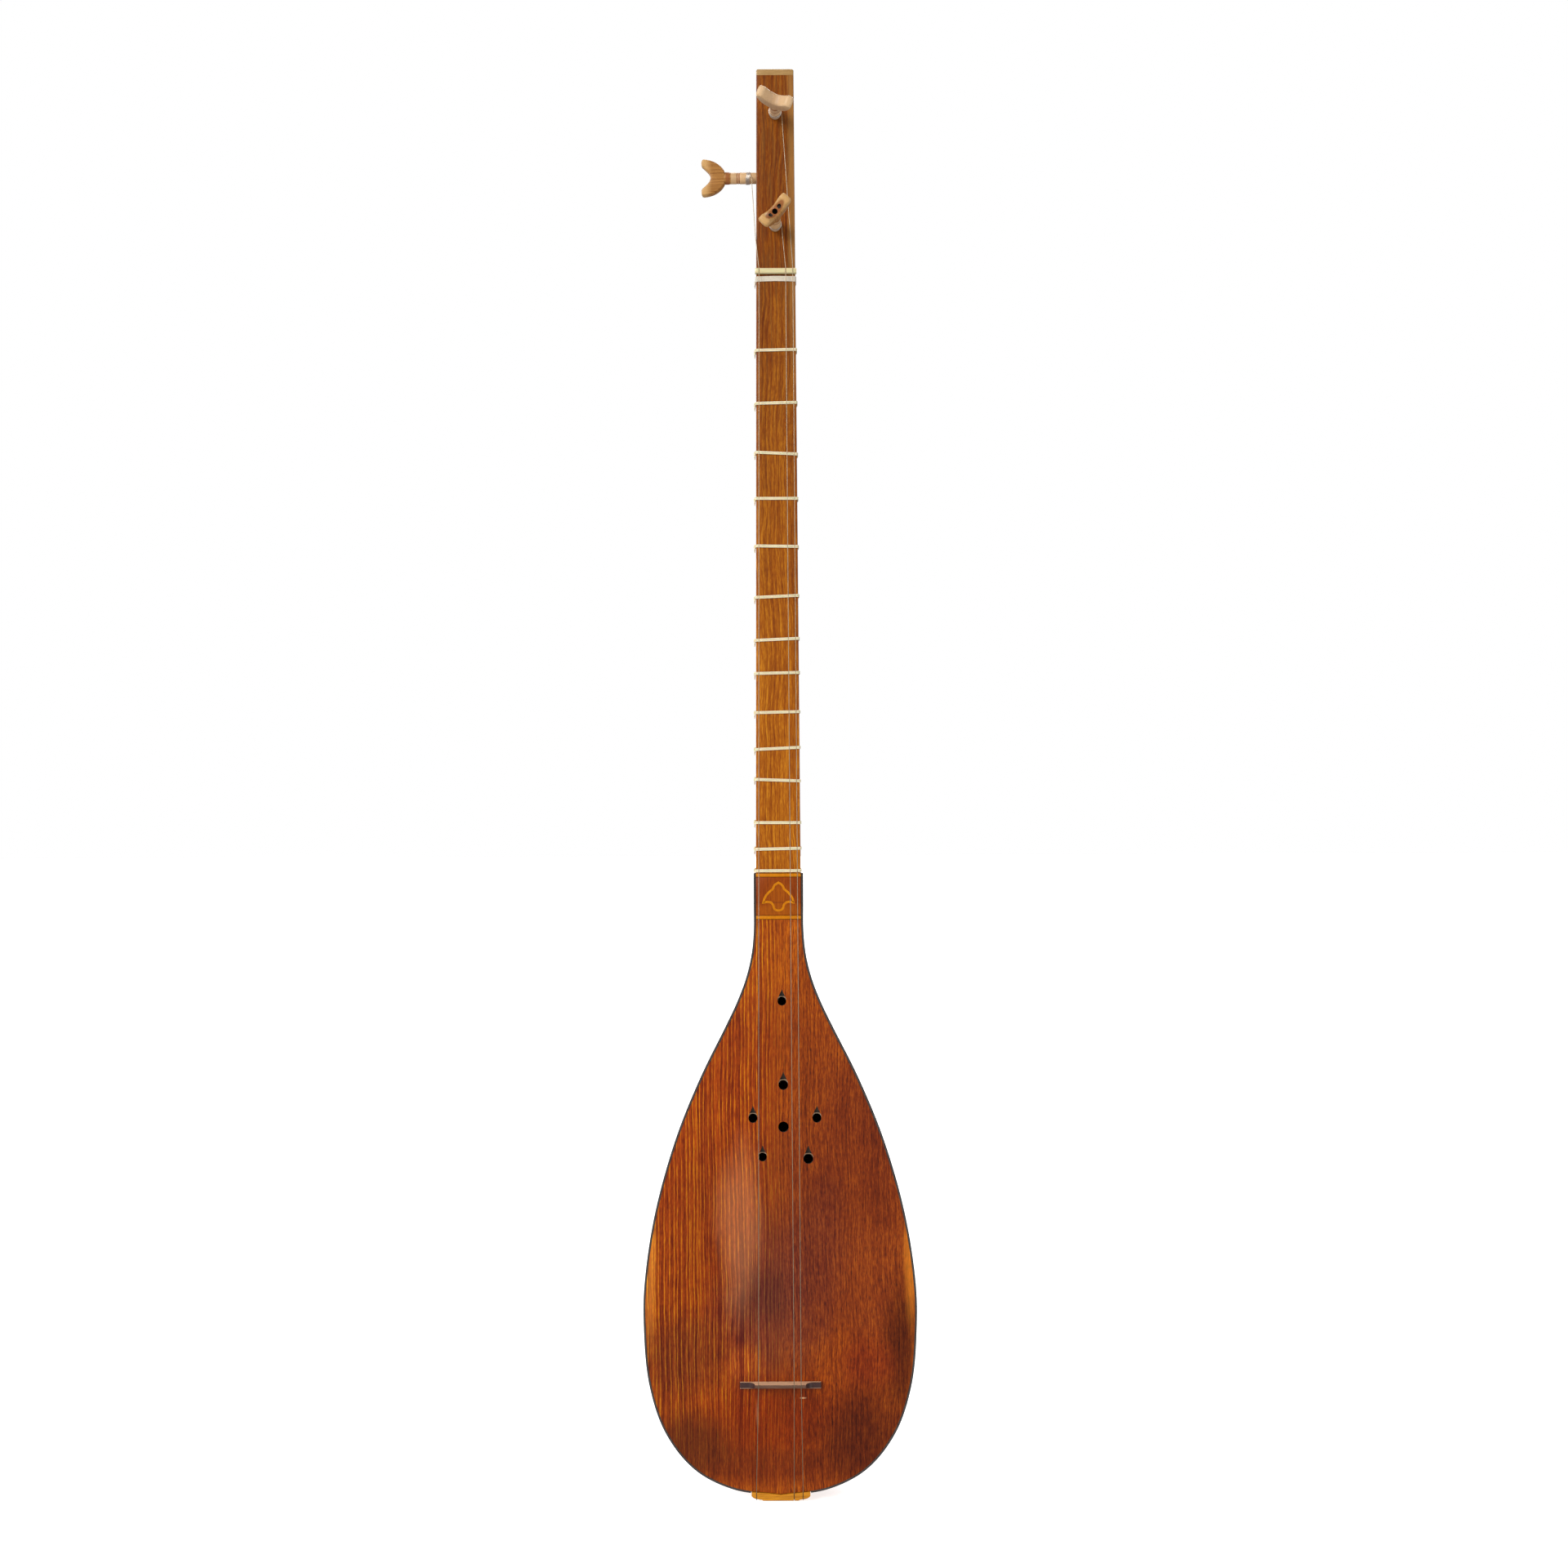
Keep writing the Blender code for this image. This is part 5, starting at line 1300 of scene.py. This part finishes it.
def bridge_height(x):
    """Height of the bridge's top along its length: level body, scooped wings."""
    out = abs(x) - BRIDGE_BODY_HALF
    if out <= 0:
        return BRIDGE_HEIGHT
    if out >= BRIDGE_SCOOP:
        return BRIDGE_WING
    return BRIDGE_HEIGHT - (BRIDGE_HEIGHT - BRIDGE_WING) * math.sqrt(1 - (1 - out / BRIDGE_SCOOP) ** 2)


def bridge(wood, face):
    """Floating bridge: upright neck-side face, sloped back, wings scooped down at both ends."""
    base = board_front(0.0, BRIDGE_Z) - GAP
    steps = [BRIDGE_SCOOP * (1 - math.cos(math.pi / 2 * k / 12)) for k in range(13)]
    right = [BRIDGE_BODY_HALF + step for step in steps[1:]] + [BRIDGE_HALF - 0.5, BRIDGE_HALF]
    columns = [-x for x in reversed(right)] + [-BRIDGE_BODY_HALF, 0.0, BRIDGE_BODY_HALF] + right
    rings = []
    for x in columns:
        height = bridge_height(x)
        if abs(x) == BRIDGE_HALF:
            height -= 0.35
        thick = BRIDGE_BASE + (BRIDGE_TOP - BRIDGE_BASE) * height / BRIDGE_HEIGHT
        ease = 0.22
        rings.append([
            (x, base, BRIDGE_Z), (x, base, BRIDGE_Z - BRIDGE_BASE),
            (x, base - height + ease, BRIDGE_Z - thick), (x, base - height, BRIDGE_Z - thick + ease),
            (x, base - height, BRIDGE_Z - ease), (x, base - height + ease, BRIDGE_Z),
        ])
    shape = bmesh.new()
    faces = skin(shape, rings)
    # The neck-side face takes the pale painted highlight.
    for side in faces:
        if all(abs(vertex.co.z - BRIDGE_Z) < 0.01 for vertex in side.verts):
            side.material_index = 1
    piece = new_object("walnut_bridge", shape, [wood, face], angle=30)
    notches = bmesh.new()
    floor = base - BRIDGE_HEIGHT + BRIDGE_NOTCH
    for _, x, _ in STRING_X:
        path = [(x, floor - 0.25, BRIDGE_Z + 3), (x, floor - 0.25, BRIDGE_Z), (x, floor + 0.3, BRIDGE_Z - 4)]
        skin(notches, sweep(path, 0.32, 16))
        sides = ((x - 0.3, 0), (x + 0.3, 0), (x + 0.3, -3), (x - 0.3, -3))
        skin(notches, [[(a, y + b, z) for a, b in sides]
                       for y, z in ((floor - 0.2, BRIDGE_Z + 2), (floor + 0.2, BRIDGE_Z - 3.5))])
    combine(piece, notches, wood, angle=30, crossing=True)
    stands_for(piece, "bridge")


def tailpiece(made):
    """String holder: a lip against the soundboard's tail edge and a foot under the end cap."""
    front = FACE_Y - TAILPIECE_PROUD
    lip_back = FACE_Y + BOARD_THICK
    right = [4.0, 8.0, 11.2, 11.6, 12.0, 12.4, 13.6, 15.2, 16.4, 17.4, 18.2, TAILPIECE_HALF]
    lows = [0.0, 0.0, 0.0, 0.12, 0.45, 0.62, 0.72, 0.95, 1.25, 1.65, 2.2, 3.0]
    columns = [-x for x in reversed(right)] + [0.0] + right
    bottoms = lows[::-1] + [0.0] + lows
    ease = 0.35
    rings = []
    for x, low in zip(columns, bottoms):
        length = length_at_width(abs(x))
        lip_top = outline_at(length, RIM_WIDTH + GAP)[1] - 1.5 * GAP
        foot_top = min(max(2.2, low + 0.6), outline_at(length)[1] - 1.5 * GAP)
        rings.append([
            (x, front + ease, low), (x, front, low + ease), (x, front, lip_top - ease),
            (x, front + ease, lip_top), (x, lip_back, lip_top), (x, lip_back, foot_top),
            (x, TAILPIECE_FOOT_Y, foot_top), (x, TAILPIECE_FOOT_Y, low),
        ])
    piece = skinned("boxwood_string_holder", rings, [made], angle=35)
    grooves = bmesh.new()
    floor = front + TAIL_GROOVE - 0.28
    for _, _, x in STRING_X:
        path = [(x, floor, 10.0), (x, floor, 1.4), (x, floor + 0.15, 0.95), (x, floor + 0.5, 0.6),
                (x, floor + 1.0, 0.5), (x, -18.0, 0.5)]
        skin(grooves, sweep(path, 0.3, 16))
        outer = [(front - 2, 9.0), (front - 2, -2.0), (-18.2, -2.0), (-18.2, 0.55),
                 (floor + 0.4, 0.55), (floor, 1.0), (floor, 9.0)]
        skin(grooves, [[(x + side, y, z) for y, z in outer] for side in (-0.29, 0.29)])
    combine(piece, grooves, made, angle=35, crossing=True)
    stands_for(piece, "tailpiece")


def end_cap(made):
    """Rounded cap over the ends of the staves."""
    last = EDGE_LENGTH[-1]
    first = length_at_width(STAVE_CUT_WIDTH - 1.2)
    top_z = outline_at(STAVE_END)[1] - GAP
    rings = []
    for k in range(9):
        length = first + (last - first) * k / 8 * 3 / 4.5
        rings.append([bowl_point(length, math.pi * step / 32) for step in range(33)])
    top = [(x, y, top_z) for x, y, _ in rings[0]]
    for point in rings[0]:
        point[2] = min(point[2], top_z - 0.15)
    piece = skinned("walnut_tail_cap", [top, *rings], [made], angle=50)
    stands_for(piece, "end_cap")


def give_finish(node, made):
    """A CAD node that keeps its own shape takes a new material."""
    mesh = frame["nodes"][node].data
    mesh.materials.clear()
    mesh.materials.append(made)


def studio():
    """White back-lit sheet for a floor, soft light from the upper left, and the photograph's camera."""
    floor_mesh = bpy.data.meshes.new("floor")
    reach = 12.0
    low = at((0, 0, 0))[2] - 1 * MM
    floor_mesh.from_pydata([(-reach, -reach, low), (reach, -reach, low), (reach, reach, low),
                            (-reach, reach, low)], [], [(0, 1, 2, 3)])
    paper, _, shader = finish("white_acrylic_sheet", 0.9)
    shader.inputs["Base Color"].default_value = linear("e0e0e0")
    shader.inputs["Specular IOR Level"].default_value = 0.0
    shader.inputs["Emission Color"].default_value = (1.0, 1.0, 1.0, 1.0)
    shader.inputs["Emission Strength"].default_value = 0.75
    floor_mesh.materials.append(paper)
    floor = placed("floor", floor_mesh)
    floor.visible_diffuse = False
    floor.visible_shadow = False
    floor.visible_glossy = False

    # The room is white to the eye, and a softer light than that to the wood.
    world = bpy.data.worlds.new("studio")
    bpy.context.scene.world = world
    world.use_nodes = True
    backdrop = world.node_tree.nodes["Background"]
    backdrop.inputs["Color"].default_value = (1.0, 1.0, 1.0, 1.0)
    seen = add(world.node_tree, "LightPath").outputs["Is Camera Ray"]
    strength = add(world.node_tree, "MapRange", {"Value": seen, "To Min": ROOM_LIGHT})
    world.node_tree.links.new(strength.outputs["Result"], backdrop.inputs["Strength"])

    # Where each soft lamp stands, and how white it makes a white sheet that faces it.
    for name, place, white in (
        ("key", (-0.7, -0.66, 0.45), 1.05),
        ("fill", (0.75, -0.6, 0.1), 0.3),
        ("bounce", (0.1, -0.4, -0.9), 0.35),
        ("top", (0.3, 0.6, 0.75), 0.6),
        ("back", (-0.7, 0.7, 0.1), 0.3),
    ):
        lamp = bpy.data.lights.new(name, "SUN")
        lamp.angle = math.radians(35)
        lamp.energy = white * math.pi
        lamp_object = placed(name, lamp)
        lamp_object.rotation_mode = "QUATERNION"
        lamp_object.rotation_quaternion = Vector(place).to_track_quat("Z", "Y")
        # The low lamp stands in for the sheet's own glow, which has no bright spot to mirror.
        lamp_object.visible_glossy = name != "bounce"
    bpy.context.scene.view_settings.view_transform = "Standard"

    # The photograph shows 1008 mm of the neck's plane from 1350 mm, rolled a quarter of a degree.
    shown, distance = 1008.0, 1350.0
    data = bpy.data.cameras.new("camera")
    data.sensor_width = 36.0
    data.lens = data.sensor_width * distance / shown
    data.clip_end = 100.0
    camera = placed("camera", data)
    camera.location = at((3.9, FACE_Y - distance, 460.4))
    camera.rotation_euler = (math.radians(90), math.radians(0.25), 0)
    bpy.context.scene.camera = camera


def dress():
    hollow_shade = plain_wood("painted_hollow_shade")
    gold = plain_wood("golden_inlay_wood")
    neck_wood = mulberry_neck()
    staves(mulberry_staves())
    end_cap(plain_wood("walnut_end_cap"))
    soundboard(mulberry_board(), hollow_shade, plain_wood("lit_cut_mulberry"))
    rim_halves(plain_wood("dark_rim_binding"))
    joint_panel(mulberry_panel(), gold)
    neck(neck_wood)
    head_cap(plain_wood("maple_head_cap"))
    nut(nut_bone())
    nut_thread(cotton_thread())
    frets(gut())
    pegs(pear_wood_peg(), pear_wood_peg(dark_channel=True), pear_wood_peg(worn=0.45), hollow_shade)
    windings(music_wire("f4ece2", "dcd2c6"))
    # The steel is tinted warm brown: a painted reflection of the wood around it.
    strings(music_wire("b8a68c", "92806a"))
    bridge(walnut_bridge(), plain_wood("walnut_lit_face"))
    tailpiece(plain_wood("boxwood_tailpiece"))
    block = plain_wood("sawn_block")
    give_finish("neck_block", block)
    give_finish("tail_block", block)


studio()
dress()
